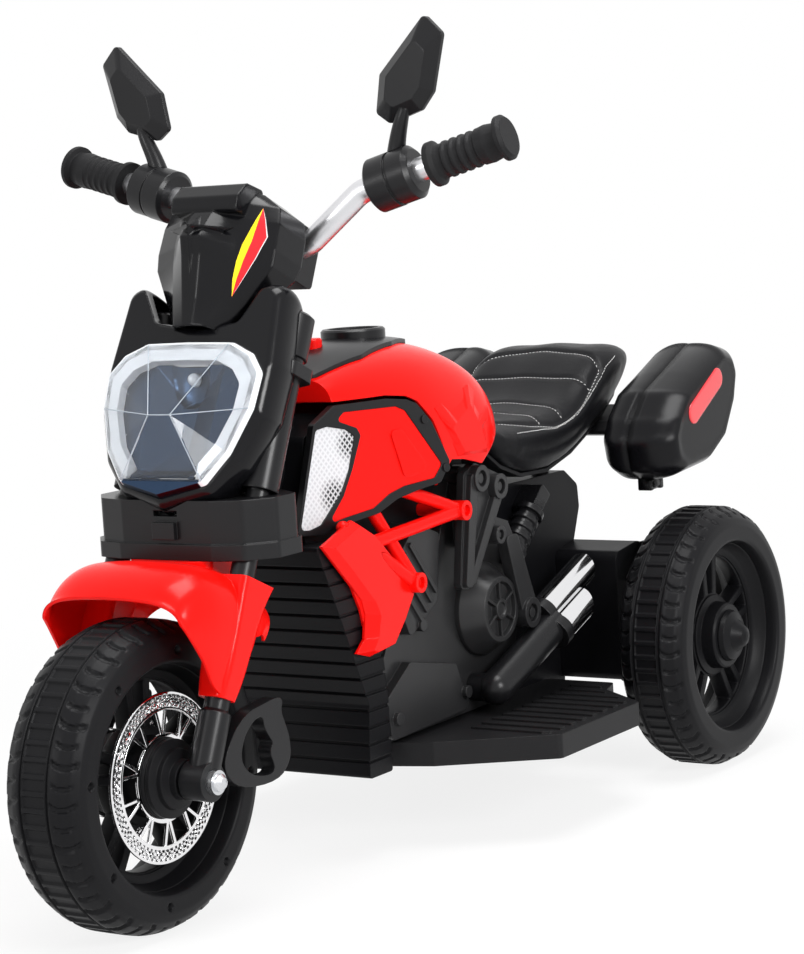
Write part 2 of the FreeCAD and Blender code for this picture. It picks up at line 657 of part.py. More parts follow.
# Switch housings: split barrels inboard of the grips, each with a socket for a mirror stalk.
housing = body("switch_housing_left")
barrel_wide = v("housing_radius")
barrel_long = v("housing_length")
barrel = [(v("bar_radius"), 0), (barrel_wide - 4, 0), (barrel_wide, 3),
          (barrel_wide, 0.52 * barrel_long - 1.2), (barrel_wide - 1.5, 0.52 * barrel_long - 1.2),
          (barrel_wide - 1.5, 0.52 * barrel_long + 1.2), (barrel_wide - 0.5, 0.52 * barrel_long + 1.2),
          (barrel_wide - 0.5, barrel_long - 4), (barrel_wide - 5, barrel_long),
          (v("bar_radius"), barrel_long)]
revolve(housing, sketch(housing, "XZ_Plane", straight(barrel)))
along_bar(housing, 112)
housing_left = housing
keep(together("switch_housings", housing_left, mirrored("switch_housing_right", housing_left)))


# Mirrors: a tapered stalk up from the housing and a kite-shaped head with a ridge along its back.
def mirror_shapes():
    """Head with its stalk, and the glass let into the rear face."""
    kite = [(173, 770), (191, 752), (178, 702), (165, 687), (131, 677), (117, 687), (123, 721)]
    thick = v("mirror_thick")
    middle = (sum(p[0] for p in kite) / len(kite), sum(p[1] for p in kite) / len(kite))

    def outline(scale, x):
        """Kite outline scaled about its middle, standing across the bike."""
        points = [(middle[0] + scale * (a - middle[0]),
                   middle[1] + scale * (b - middle[1])) for a, b in kite]
        wire = Part.Wire([c.toShape() for c in corners(points, 5)])
        wire.Placement = Placement(Vector(x, 0, 0), Rotation(Vector(1, 1, 1), 120))
        return wire

    back = 104
    head = loft([outline(1, back), outline(1, back + 0.35 * thick), outline(0.62, back + thick)], True)
    glass = Part.Face(outline(0.86, back)).extrude(Vector(1.5, 0, 0))
    steps = ((9.5, 106, 134, 645), (8, 107, 136, 657), (7, 109, 141, 672), (5, 110, 148, 690))
    lean = Vector(0.05, 0.25, 1)
    stalk = loft([Part.Wire(Part.makeCircle(r, Vector(x, y, z), lean)) for r, x, y, z in steps])
    return head.fuse(stalk).cut(glass), glass


head_shape, glass_shape = mirror_shapes()
mirror_left = cut("mirror_left", built("mirror_blank", head_shape), housing_left)
glass = built("mirror_glass_left", glass_shape)
keep(together("mirrors", mirror_left, mirrored("mirror_right", mirror_left)))
keep(together("mirror_glass", glass, mirrored("mirror_glass_right", glass)))

# Headlight: a rounded shield-shaped opening with a pale ring, a clear faceted lens and a bowl behind.
shield = [(0, 368), (46, 367), (70, 356), (84, 338), (82, 305), (67, 264), (46, 236), (0, 224)]


def shield_wire(inset, ahead, drop=0.0):
    """Shield outline drawn in by an inset, standing across the raked frame."""
    low = 224
    high = 368
    middle = (low + high) / 2
    half = [(y * (84 - inset) / 84, middle + (s - middle) * (72 - inset) / 72 - drop) for y, s in shield]
    points = half + [(-y, s) for y, s in reversed(half[1:-1])]
    wire = Part.Wire([c.toShape() for c in corners(points, 9)])
    wire.Placement = raked.multiply(Placement(Vector(ahead, 0, 0), Rotation(Vector(1, 1, 1), 120)))
    return wire


front = v("headlight_front")
ring_wide = v("headlight_ring_wide")
ring_outer = loft([shield_wire(0, front - 14), shield_wire(0, front - 2), shield_wire(2, front + 4)], True)
ring_room = loft([shield_wire(ring_wide, front - 15), shield_wire(ring_wide, front + 5)], True)
low_gap = Part.makeBox(40, 2 * v("ring_gap_half"), 44, Vector(front - 16, -v("ring_gap_half"), 220))
low_gap.Placement = raked.multiply(low_gap.Placement)
ring_room = ring_room.fuse(loft([shield_wire(5, front - 15), shield_wire(5, front + 5)],
                                True).common(low_gap))
ring = cut("headlight_ring", built("ring_blank", ring_outer.cut(ring_room)), crown_part)


def faceted(outline, peaks, low, high):
    """Solid under flat facets from an outline up to two peaks, in the raked frame."""
    rim = [Vector(low, y, s) for y, s in outline]
    tops = [Vector(high, y, s) for y, s in peaks]
    faces = [Part.Face(Part.makePolygon(rim + rim[:1]))]
    for a, b in zip(rim, rim[1:] + rim[:1]):
        side = 0 if a.y + b.y > 0 else 1
        if a.y * b.y < 0:
            faces.append(Part.Face(Part.makePolygon([a, b, tops[1 if b.y < 0 else 0],
                                                     tops[0 if b.y < 0 else 1], a])))
        else:
            faces.append(Part.Face(Part.makePolygon([a, b, tops[side], a])))
    made = Part.makeSolid(Part.makeShell(faces))
    made.Placement = raked
    return made


def cover_outline(inset):
    """Corners of the shield drawn in by an inset, with a flat top and bottom edge."""
    half = [(y * (84 - inset) / 84, 296 + (s - 296) * (72 - inset) / 72) for y, s in shield[1:-1]]
    return half + [(-y, s) for y, s in reversed(half)]


lens_rise = v("lens_rise")
lens_wall = v("lens_wall")
lens_peak = [(12, 292), (-12, 292)]
cover_out = faceted(cover_outline(3), lens_peak, front + 4, front + 4 + lens_rise)
cover_in = faceted(cover_outline(3 + 2 * lens_wall), lens_peak, front + 3.9,
                   front + 4 + lens_rise - lens_wall)
lens = built("headlight_lens", cover_out.cut(cover_in))
bowl_outer = loft([shield_wire(ring_wide, front - 4), shield_wire(ring_wide + 30, front - 30)], True)
bowl_room = loft([shield_wire(ring_wide + 2.5, front - 3.9), shield_wire(ring_wide + 32, front - 27)], True)
bowl = built("headlight_reflector", bowl_outer.cut(bowl_room))
keep(ring, lens, bowl)


# Headlight shroud: the gloss surround with two ears that rise beside the dash cowl.
def shroud_shape():
    """Surround around the ring, open behind, with arms back to the fork tubes."""
    depth = v("shroud_depth")
    ears = [(0, 384), (52, 392), (72, 426), (86, 420), (92, 350), (90, 300), (74, 256), (50, 228), (0, 214)]

    def wire(inset, ahead):
        """Surround outline drawn in by an inset."""
        half = [(max(0, y - inset) if y else 0, s + math.copysign(inset, 300 - s)) for y, s in ears]
        points = half + [(-y, s) for y, s in reversed(half[1:-1])]
        made = Part.Wire([c.toShape() for c in corners(points, 12)])
        made.Placement = raked.multiply(Placement(Vector(ahead, 0, 0), Rotation(Vector(1, 1, 1), 120)))
        return made

    outside = loft([wire(9, front - 8 - depth), wire(2, front - 34), wire(0, front - 20),
                    wire(1.5, front - 9), wire(7, front - 1)])
    inside = loft([wire(12.5, front - 9 - depth), wire(6, front - 34), wire(4, front - 20),
                   wire(5.5, front - 14)])
    window = loft([shield_wire(0, front - 20), shield_wire(0, front + 8)], True)
    return outside.cut(inside).cut(window)


shroud_blank = built("shroud_blank", shroud_shape())
shroud = cut("headlight_shroud", shroud_blank, leg_left, leg_right, bridge_part, crown_part)
keep(shroud)


def faceted_star(outline, peak, low, high):
    """Solid under the facets from a star outline up to one peak, in the raked frame."""
    rim = [Vector(low, y, s) for y, s in outline]
    top = Vector(high, *peak)
    faces = [Part.Face(Part.makePolygon(rim + rim[:1]))]
    faces += [Part.Face(Part.makePolygon([a, b, top, a])) for a, b in zip(rim, rim[1:] + rim[:1])]
    made = Part.makeSolid(Part.makeShell(faces))
    made.Placement = raked
    return made


# Dash cowl: faceted shield above the headlight, with a visor ridge, star facets and an open back.
def cowl_shape():
    """Faceted shell through level sections of the raked frame."""
    rows = ((379, 26, 80, 70, 16, 54), (403, 42, 84, 66, 26, 40), (440, 64, 94, 66, 34, 22),
            (455, 65, 101, 68, 34, 18), (480, 64, 90, 68, 34, 18), (496, 60, 82, 66, 32, 20),
            (509, 40, 76, 66, 24, 26))

    def section(row, inset):
        """One level section: nose, front shoulders, sides and back."""
        up, half, nose, shoulder, flat, back = row
        points = [(nose - inset, flat * 0.3), (shoulder + 8 - inset, flat),
                  (shoulder - 8 - inset, half - inset), (back - (6 if inset else 0), half - inset),
                  (back - (6 if inset else 0), inset - half), (shoulder - 8 - inset, inset - half),
                  (shoulder + 8 - inset, -flat), (nose - inset, -flat * 0.3)]
        flat_wire = Part.makePolygon([Vector(x, y, 0) for x, y in points + points[:1]])
        flat_wire.Placement = raked.multiply(Placement(Vector(0, 0, up), Rotation()))
        return flat_wire

    wall = v("cowl_wall")
    solid = loft([section(r, 0) for r in rows], True)
    visor_line = face_of([(56, 484), (90, 482), (91, 496), (82, 511), (56, 514)], 4)
    visor_line.Placement = Placement(Vector(0, 36, 0), Rotation(Vector(1, 0, 0), 90))
    visor = visor_line.extrude(Vector(0, -72, 0))
    visor.Placement = raked.multiply(visor.Placement)
    star = [(36, 467), (9, 470), (0, 482), (-9, 470), (-36, 467), (-8, 456), (0, 416), (8, 456)]
    rays = faceted_star(star, (0, 463), 86, v("star_rise") + 100)
    solid = solid.fuse([visor, rays])
    room = loft([section(r, wall) for r in (rows[0],) + rows[1:-1]], True)
    open_shell = solid.cut(room).cut([shroud_blank.Shape, ring_outer])
    return max(open_shell.Solids, key=lambda piece: piece.Volume)


cowl = cut("dash_cowl", built("cowl_blank", cowl_shape()), clamp_part)
keep(cowl)


# Body shell: two hollow halves that meet at the middle and carry the head tube.
def shell_shape():
    """Both halves in one, hollow, with the head tube and its bore."""
    half = v("shell_half")
    wall = v("shell_wall")
    low = v("belly")
    side = [(164, 318), (154, 400), (120, 420), (-96, 420), (-112, 345), (-140, 314), (-312, 314),
            (-338, 296), (-340, 272), (-326, 240), (-296, 178), (-290, low), (98, low), (104, 150),
            (136, 230)]
    inner = [(160, 318), (150, 397), (118, 420 - wall), (-93, 420 - wall), (-109, 343 - wall),
             (-138, 314 - wall), (-311, 314 - wall), (-334, 294), (-336, 273), (-322, 242), (-293, 180),
             (-287, low + wall), (95, low + wall), (100, 151), (132, 231)]
    outer = side_prism(side, 8, -half, half)
    room = side_prism(inner, 5, wall - half, half - wall)
    neck = face_of([(-70, 26), (8, 22), (8, -22), (-70, -26)], 5)
    neck = neck.extrude(Vector(0, 0, v("head_high") - v("head_low")))
    neck.Placement = raked.multiply(Placement(Vector(0, 0, v("head_low")), Rotation()))
    head = Part.makeCylinder(v("head_radius"), v("head_high") - v("head_low"))
    head.Placement = raked.multiply(Placement(Vector(0, 0, v("head_low")), Rotation()))
    bore_radius = v("stem_radius") + v("stem_play") + v("bush_wall")
    hole = Part.makeCylinder(bore_radius, 400)
    hole.Placement = raked.multiply(Placement(Vector(0, 0, v("head_low") - 60), Rotation()))
    return outer.cut(room).fuse([neck, head]).cut(hole), outer


shell, shell_solid = shell_shape()
shell_room = built("shell_room", shell_solid)
side_box = Part.makeBox(1200, 300, 900, Vector(-600, 0, 0))
body_left = built("body_shell_left", shell.common(side_box))
body_right = built("body_shell_right", shell.common(side_box.mirror(Vector(), Vector(0, 1, 0))))
keep(body_left, body_right)


# Head bushes: flanged plain bearings at both ends of the head tube.
def bush_shape(up, turn):
    """One flanged bush in the raked frame."""
    inner = v("stem_radius") + v("stem_play")
    outer = inner + v("bush_wall")
    sleeve = Part.makeCylinder(outer, 18).cut(Part.makeCylinder(inner, 18))
    flange = Part.makeCylinder(outer + 5, 2).cut(Part.makeCylinder(inner, 2))
    if turn > 0:
        flange.translate(Vector(0, 0, 18))
    else:
        flange.translate(Vector(0, 0, -2))
    made = sleeve.fuse(flange)
    made.Placement = raked.multiply(Placement(Vector(0, 0, up), Rotation()))
    return made


low_bush = built("head_bush_low", bush_shape(v("head_low"), -1))
high_bush = built("head_bush_high", bush_shape(v("head_high") - 18, 1))
keep(together("head_bushes", low_bush, high_bush))


# Radiator cover: the grooved belly front, open behind, that wraps the front of the body shell.
def radiator_shape():
    """Cover with grooves right round its front and sides."""
    half = v("radiator_half")
    low = v("belly") - 2
    side = [(122, low), (116, 150), (150, 230), (184, 306), (150, 306), (92, 230), (84, 150), (84, low)]

    def blank(inset):
        """Cover outline drawn in by an inset from the front and sides."""
        points = [(x - inset if i < 4 else x, z) for i, (x, z) in enumerate(side)]
        made = side_prism(points, 3, inset - half, half - inset)
        return made

    solid = blank(0)
    room = side_prism([(116, low - 1), (110, 150), (144, 230), (177, 303), (140, 303), (60, 230),
                       (60, low - 1)], 2, 4 - half, half - 4)
    count = int(v("radiator_grooves"))
    skin = solid.cut(blank(v("groove_depth")))
    pitch = (300 - low - 14) / count
    slabs = [Part.makeBox(300, 400, 3, Vector(0, -200, low + 14 + pitch * i)) for i in range(count)]
    grooves = skin.common(Part.makeCompound(slabs))
    return solid.cut(room).cut(grooves)


radiator = cut("radiator_cover", built("radiator_blank", radiator_shape()), shell_room)
keep(radiator)


# Tank: red crowned cover whose sides are cut back along the black strip, on two posts.
def tank_section(row, inset):
    """One cross section of the tank: flat foot, bulged sides and a crowned top."""
    x, half, top, belt, foot = row
    half -= inset
    top -= inset
    side = [(0.96 * half, foot), (0.99 * half, 0.5 * (foot + belt)), (half, belt),
            (0.94 * half, belt + 0.4 * (top - belt)), (0.76 * half, belt + 0.74 * (top - belt)),
            (0.42 * half, top - 4)]
    run = [(-y, z) for y, z in side] + [(0, top)] + side[::-1]
    curve = Part.BSplineCurve()
    curve.interpolate([Vector(x, y, z) for y, z in run])
    last = Part.makeLine(Vector(x, run[-1][0], run[-1][1]), Vector(x, run[0][0], run[0][1]))
    return Part.Wire([curve.toShape(), last])


def tank_shape():
    """Crowned shell with the side openings and posts."""
    rows = ((127, 62, 456, 428, 338), (100, 72, 464, 425, 338), (60, 84, 473, 415, 338),
            (10, 96, 477, 400, 338), (-40, 100, 473, 390, 338), (-80, 99, 461, 384, 338),
            (-108, 90, 446, 380, 338))
    wall = v("tank_wall")
    outside = loft([tank_section(r, 0) for r in rows])
    inner_rows = [r[:4] + (330,) for r in rows]
    inner_rows[0] = (rows[0][0] - wall,) + inner_rows[0][1:]
    inner_rows[-1] = (rows[-1][0] + wall,) + inner_rows[-1][1:]
    room = loft([tank_section(r, wall) for r in inner_rows])
    shell_part = outside.cut(room)
    posts = [Part.makeCylinder(8, 80, Vector(x, 0, 420)).common(outside) for x in (70, -60)]
    opening = [(190, 300), (190, 431), (129, 431), (67, 431), (42, 428), (29, 422), (12, 402),
               (-8, 361), (8, 340), (8, 300)]
    foot = [(8, 300), (8, 340), (-14, 362), (-34, 360), (-66, 352), (-112, 384), (-130, 384), (-130, 300)]
    gap = side_prism(opening, 0, -200, 200).fuse(side_prism(foot, 0, -200, 200))
    return shell_part.fuse(posts).cut(gap), outside


tank_hollow, tank_solid = tank_shape()
tank = cut("tank_blank_cut", built("tank_blank", tank_hollow), shell_room)


# Tank console: black top panel with a ringed filler cap and a round power button.
def console_shape():
    """Panel that follows the tank crown."""
    outline = [(126, 40), (60, 52), (0, 46), (-52, 30), (-52, -30), (0, -46), (60, -52), (126, -40)]
    column = face_of(outline, 12).extrude(Vector(0, 0, 200))
    column.translate(Vector(0, 0, 380))
    rows = ((140, 66, 458, 425, 338), (100, 73, 468, 425, 338), (60, 85, 477.5, 415, 338),
            (10, 97, 481.5, 400, 338), (-40, 101, 477.5, 390, 338), (-70, 100, 468, 384, 338))
    return column.common(loft([tank_section(r, 0) for r in rows])).cut(tank_solid)


console_blank = built("console_blank", console_shape())
cap_seat = rod("cap_room", "dims.cap_radius", "40", (-4, 0, 476), (0, 0, 1))
button_room = rod("button_room", "dims.button_radius + dims.button_play", "60", (64, 0, 467), (0, 0, 1))
console = cut("tank_console", console_blank, cap_seat, button_room)
tank_part = cut("tank_cover", tank, cap_seat, button_room)
filler = body("filler_cap")
filler_wide = v("cap_radius")
revolve(filler, sketch(filler, "XZ_Plane",
                       straight([(0, 0), (filler_wide, 0), (filler_wide, 11), (filler_wide - 2, 13),
                                 (filler_wide - 6, 13), (filler_wide - 8, 8), (8, 8), (6, 10),
                                 (0, 10)])))
filler.Placement.Base = Vector(-4, 0, 476)
button = body("power_button")
button_wide = v("button_radius")
revolve(button, sketch(button, "XZ_Plane",
                       straight([(0, 0), (button_wide, 0), (button_wide, 15), (button_wide - 1.5, 17),
                                 (0, 17.5)])))
button.Placement.Base = Vector(64, 0, 468)
keep(tank_part, console, filler, button)


# Side pieces: strip, panel and lamp lie in one plane that narrows forward, on pegs to the shell.
slope = v("side_slope")
outward = Vector(slope, 1, 0).normalize()


def on_side(points, radius, back, proud):
    """Plate in the slanted side plane, from back inside it to proud outside it."""
    flat = face_of([(x * math.sqrt(1 + slope * slope), z) for x, z in points], radius)
    turn = Rotation(Vector(1, -slope, 0), Vector(0, 0, 1), outward.negative(), "XYZ")
    base = Vector(0, v("side_flare"), 0) - outward * back
    flat.Placement = Placement(base, turn)
    return flat.extrude(outward * (back + proud))


def peg(x, z, back):
    """Peg from the back of a side plate to the body shell."""
    end = v("side_flare") - slope * x - back
    return Part.makeCylinder(v("peg_radius"), end - v("shell_half"), Vector(x, v("shell_half"), z),
                             Vector(0, 1, 0))


trim_line = [(153, 413), (129, 428), (67, 428), (44, 425), (32, 420), (15, 401), (-5, 361), (8, 343),
             (38, 339), (62, 334), (84, 324), (120, 319), (150, 313), (179, 315)]
panel_line = [(127, 414), (118, 421), (57, 420), (46, 415), (5, 360), (15, 348), (52, 345), (70, 340),
              (90, 329), (122, 325), (144, 321), (124, 345), (112, 368), (100, 398), (104, 405)]
lamp_line = [(151, 408), (138, 410), (117, 405), (107, 398), (116, 368), (127, 347), (152, 322),
             (164, 319), (175, 320)]
panel_room = on_side(panel_line, 4, 30, 30)
lamp_room = on_side(lamp_line, 4, 30, 30)
strip = on_side(trim_line, 5, v("trim_thick") - 2, 2)
strip = strip.cut(panel_room).cut(lamp_room).fuse([peg(6, 376, v("trim_thick") - 3),
                                                   peg(66, 336.5, v("trim_thick") - 3)])
strip_left = built("side_trim_left", strip.cut(panel_room))
panel = on_side(panel_line, 4, v("panel_thick") - 1, 1)
boss_line = [(66, 398), (52, 398), (24, 362), (30, 354), (52, 354)]
panel = panel.fuse(on_side(boss_line, 4, 0, 3)).fuse([peg(84, 390, v("panel_thick") - 2),
                                                      peg(70, 352, v("panel_thick") - 2)])
panel_left = built("side_panel_left", panel)
lamp = on_side(lamp_line, 4, v("lamp_thick") - 1, 1).fuse(peg(136, 372, v("lamp_thick") - 2))
lamp_left = built("side_lamp_left", lamp)
keep(together("side_trims", strip_left, mirrored("side_trim_right", strip_left)))
keep(together("side_panels", panel_left, mirrored("side_panel_right", panel_left)))
keep(together("side_lamps", lamp_left, mirrored("side_lamp_right", lamp_left)))


# Engine cover: the stepped black engine side between the shell and the dress parts.
def engine_shape():
    """Crankcase, two cylinder blocks and bolt bosses."""
    half = v("shell_half")
    out = v("engine_out")
    case = side_prism([(84, 104), (92, 150), (66, 190), (40, 240), (-30, 262), (-66, 350), (-116, 345),
                       (-128, 300), (-160, 250), (-172, 170), (-150, 106)], 8, half, out - 10)
    front_block = side_prism([(70, 262), (20, 306), (-20, 290), (-10, 226), (40, 200)], 5, half, out + 2)
    rear_block = side_prism([(-60, 350), (-112, 342), (-120, 300), (-96, 262), (-64, 270)], 8, half, out)
    sump = side_prism([(78, 108), (84, 148), (40, 176), (-40, 160), (-60, 112)], 6, half, out)
    fins = [side_prism([(64 - 9 * i, 262 + 8 * i), (61 - 9 * i, 265 + 8 * i), (20 - 9 * i, 214 + 8 * i),
                        (23 - 9 * i, 211 + 8 * i)], 0, out + 1, out + 5) for i in range(4)]
    studs = [Part.makeCylinder(6, out + 5 - half, Vector(x, half, z), Vector(0, 1, 0))
             for x, z in ((20, 208), (-52, 130), (70, 128))]
    return case.fuse([front_block, rear_block, sump] + fins + studs)


engine_left = built("engine_cover_left", engine_shape())
keep(together("engine_covers", engine_left, mirrored("engine_cover_right", engine_left)))

# Clutch cover: a cone with a recessed ribbed insert and a middle boss.
clutch = body("clutch_cover_left")
rise = v("clutch_rise")
base = v("clutch_radius")
top = v("clutch_top_radius")
revolve(clutch, sketch(clutch, "XY_Plane",
                       straight([(0, 0), (base, 0), (base, 0.2 * rise), (top + 2, rise),
                                 (top - 3, rise), (top - 4, rise - 5), (11, rise - 5), (10, rise + 1),
                                 (7, rise + 1), (6, rise - 1), (0, rise - 1)])))
clutch_y = v("engine_out") - 10
spoke_list = []
for index in range(int(v("clutch_spokes"))):
    blade = Part.makeBox(2.4, 4.5, top - 12.5, Vector(-1.2, rise - 5, 9))
    blade.rotate(Vector(), Vector(0, 1, 0), 360.0 * index / v("clutch_spokes"))
    spoke_list.append(blade)
spokes = built("clutch_spoke_blank", Part.makeCompound(spoke_list))
for thing in (clutch, spokes):
    thing.Placement.Base = Vector(-103, clutch_y, 203)
clutch_left = joined("clutch_with_ribs", clutch, spokes)
keep(together("clutch_covers", clutch_left, mirrored("clutch_cover_right", clutch_left)))


# Link arm: a V-shaped arm with two bosses at its top, over a rocker down to a round boss.
def link_shape():
    """Arms, bosses and the rocker in one moulding."""
    out = v("link_out")
    back = out - v("link_thick")
    plate = side_prism([(-48, 344), (-68, 352), (-112, 336), (-112, 316), (-46, 232), (-30, 234),
                        (-34, 260)], 6, back, out - 6)
    arms = [side_prism([(-52, 342), (-66, 346), (-44, 234), (-32, 236)], 4, back, out),
            side_prism([(-94, 318), (-110, 318), (-47, 236), (-38, 240)], 4, back, out)]
    bosses = [Part.makeCylinder(r, out + 3 - back, Vector(x, back, z), Vector(0, 1, 0))
              for x, z, r in ((-67, 337, 13), (-101, 325, 12.5), (-96, 278, 9))]
    holes = [Part.makeCylinder(r, 8, Vector(x, out - 2, z), Vector(0, 1, 0))
             for x, z, r in ((-67, 337, 8), (-101, 325, 7.5), (-96, 278, 5))]
    heads = [Part.makeCylinder(r, 5, Vector(x, out - 4, z), Vector(0, 1, 0))
             for x, z, r in ((-67, 337, 5), (-101, 325, 4.5), (-96, 278, 3))]
    feet = [Part.makeCylinder(8, back - v("shell_half") + 1, Vector(x, v("shell_half"), z), Vector(0, 1, 0))
            for x, z in ((-67, 337), (-100, 322))]
    rocker = side_prism([(-112, 274), (-134, 274), (-164, 200), (-158, 182), (-146, 178), (-138, 190)],
                        6, back, out - 2)
    pivot = Part.makeCylinder(15, out + 2 - back, Vector(-150, back, 192), Vector(0, 1, 0))
    pivot_hole = Part.makeCylinder(9, 8, Vector(-150, out - 3, 192), Vector(0, 1, 0))
    pivot_head = Part.makeCylinder(5, 5, Vector(-150, out - 4, 192), Vector(0, 1, 0))
    bridge_bar = side_prism([(-84, 300), (-104, 272), (-134, 266), (-122, 288)], 3, back, out - 5)
    whole = plate.fuse(arms + bosses + feet + [rocker, pivot, bridge_bar])
    return whole.cut(holes + [pivot_hole]).fuse(heads + [pivot_head])


link_blank = built("link_blank", link_shape())
link_left = cut("link_arm_left", link_blank, engine_left, clutch_left)
keep(together("link_arms", link_left, mirrored("link_arm_right", link_left)))


# Trellis: red tubes from two end bosses up behind the side strip.
def trellis_shape():
    """Tubes, bosses and the feet on the shell."""
    radius = v("trellis_radius")
    out = v("trellis_out")
    rear_end = (-31, out - 8, 311)
    low_end = (49, out - 12, 254)
    half = v("shell_half")
    high_foot = (44, 70, 342)
    mid_foot = (84, 62, 336)
    brace_end = (140, 74, 318)
    cross_end = (112, 78, 298)
    runs = [(rear_end, high_foot), (rear_end, cross_end), (low_end, mid_foot), (low_end, brace_end),
            (high_foot, (high_foot[0], half, high_foot[2])), (mid_foot, (mid_foot[0], half, mid_foot[2])),
            (rear_end, (rear_end[0], half, rear_end[2])), (low_end, (low_end[0], half, low_end[2]))]
    tubes = [tube(a, b, radius) for a, b in runs]
    balls = [Part.makeSphere(radius, Vector(*p)) for p in (high_foot, mid_foot, brace_end, cross_end)]
    bosses = [Part.makeCylinder(v("trellis_boss"), 22, Vector(p[0], p[1] - 14, p[2]),
                                Vector(0, 1, 0)) for p in (rear_end, low_end)]
    holes = [Part.makeCylinder(v("trellis_boss") - 4, 8, Vector(p[0], p[1] + 3, p[2]),
                               Vector(0, 1, 0)) for p in (rear_end, low_end)]
    return tubes[0].fuse(tubes[1:] + balls + bosses).cut(holes)


trellis_cut = cut("trellis_left", built("trellis_blank", trellis_shape()), engine_left, strip_left,
                  panel_left, radiator)
keep(together("trellis_frames", trellis_cut, mirrored("trellis_right", trellis_cut)))


# Lower fairing: a red bevelled cheek over the corner of the front cover.
FAIRING = ((182, 307, 172, 305), (133, 324, 131, 319), (107, 310, 107, 306), (76, 282, 78, 279),
           (47, 258, 52, 257), (45, 242, 50, 243), (63, 221, 66, 223), (84, 199, 86, 203),
           (118, 196, 113, 200), (138, 202, 121, 203), (124, 213, 112, 213), (120, 236, 106, 233),
           (125, 250, 113, 246), (158, 283, 145, 279))


def fairing_shape():
    """Plate with bevelled edges round a raised face, and a foot on the cover."""
    out = v("fairing_out")
    back = out - v("fairing_thick")
    rim = [(x, z) for x, z, _, _ in FAIRING]
    face = [(x, z) for _, _, x, z in FAIRING]
    wires = []
    for line, y in ((rim, back + 3), (face, out + 3)):
        wire = Part.makePolygon([Vector(x, y, z) for x, z in line + line[:1]])
        wires.append(wire)
    plate = side_prism(rim, 0, back, back + 3)
    foot = side_prism([(150, 290), (120, 290), (110, 240), (118, 215), (124, 240)], 3,
                      v("radiator_half"), back + 1)
    return plate.fuse([loft(wires, True), foot])


fairing_left = cut("lower_fairing_left", built("fairing_blank", fairing_shape()), trellis_cut, radiator,
                   engine_left)
keep(together("lower_fairings", fairing_left, mirrored("lower_fairing_right", fairing_left)))


# Exhaust: a black pipe out of the engine side into two slash-cut bright tips.
def exhaust_shapes():
    """Pipe with its foot, and the pair of hollow tips."""
    radius = v("exhaust_radius")
    wall = v("tip_wall")
    run = Vector(-106, 8, 46)
    start = Vector(-84, 88, 128)
    end = start + run
    way = Vector(run).normalize()
    pipe = Part.makeCylinder(radius, run.Length, start, way)
    pipe = pipe.fuse([Part.makeSphere(radius, start),
                      tube(start, (start.x, v("shell_half") + 6, start.z), radius - 3)])
    tips = []
    flanges = []
    for shift, reach in ((Vector(0, 6, -4), 52), (Vector(2, -10, 12), 88)):
        begin = end + shift
        flanges.append(Part.makeCylinder(radius, 12, begin - way * 12, way))
        outer = Part.makeCylinder(radius - 0.5, reach, begin, way)
        room = Part.makeCylinder(radius - 0.5 - wall, reach, begin + way * 8, way)
        slash = Part.makeBox(90, 90, 90, Vector(-90, -45, -45))
        slash.Placement = Placement(begin + way * (reach - 12), Rotation(Vector(0, 1, 0), -6))
        tips.append((outer, room, slash))
    barrels = tips[0][0].cut(tips[0][2]).fuse(tips[1][0].cut(tips[1][2]))
    barrels = barrels.cut([tips[0][1], tips[1][1]])
    return pipe.fuse(flanges), max(barrels.Solids, key=lambda piece: piece.Volume)


pipe_shape, tip_shape = exhaust_shapes()
tips_left = built("exhaust_tips_left", tip_shape)
pipe_left = cut("exhaust_pipe_left", built("pipe_blank", pipe_shape), tips_left, engine_left,
                clutch_left, link_left)
keep(together("exhaust_pipes", pipe_left, mirrored("exhaust_pipe_right", pipe_left)))
keep(together("exhaust_tips", tips_left, mirrored("exhaust_tips_right", tips_left)))

# Footboards: thick boards with cross ribs; the right one has a well for the accelerator pedal.
board_plan = [(66, v("shell_half")), (50, 98), (-16, 198), (-172, 198), (-218, 136), (-252, 126),
              (-252, v("shell_half"))]


def board_shape():
    """Board with a plain strip inboard and a field of ribs."""
    top = v("board_top")
    solid = face_of(board_plan, 7).extrude(Vector(0, 0, v("board_thick")))
    solid.translate(Vector(0, 0, top - v("board_thick")))
    room = face_of([(x * 0.94 - 5, 50 + (y - 47) * 0.93) for x, y in board_plan],
                   5).extrude(Vector(0, 0, v("board_thick") - 4))
    room.translate(Vector(0, 0, top - v("board_thick") - 0.01))
    field = face_of([(40, 104), (-18, 188), (-166, 188), (-210, 132), (-240, 122), (-240, 92)],
                    5).extrude(Vector(0, 0, 20))
    field.translate(Vector(0, 0, top - 5))
    count = int(v("board_ribs"))
    pitch = 250 / (count + 1)
    bars = [Part.makeBox(0.45 * pitch, 200, v("rib_high"),
                         Vector(-230 + pitch * i, 60, top)) for i in range(count)]
    return solid.cut(room).fuse(Part.makeCompound(bars).common(field).Solids)


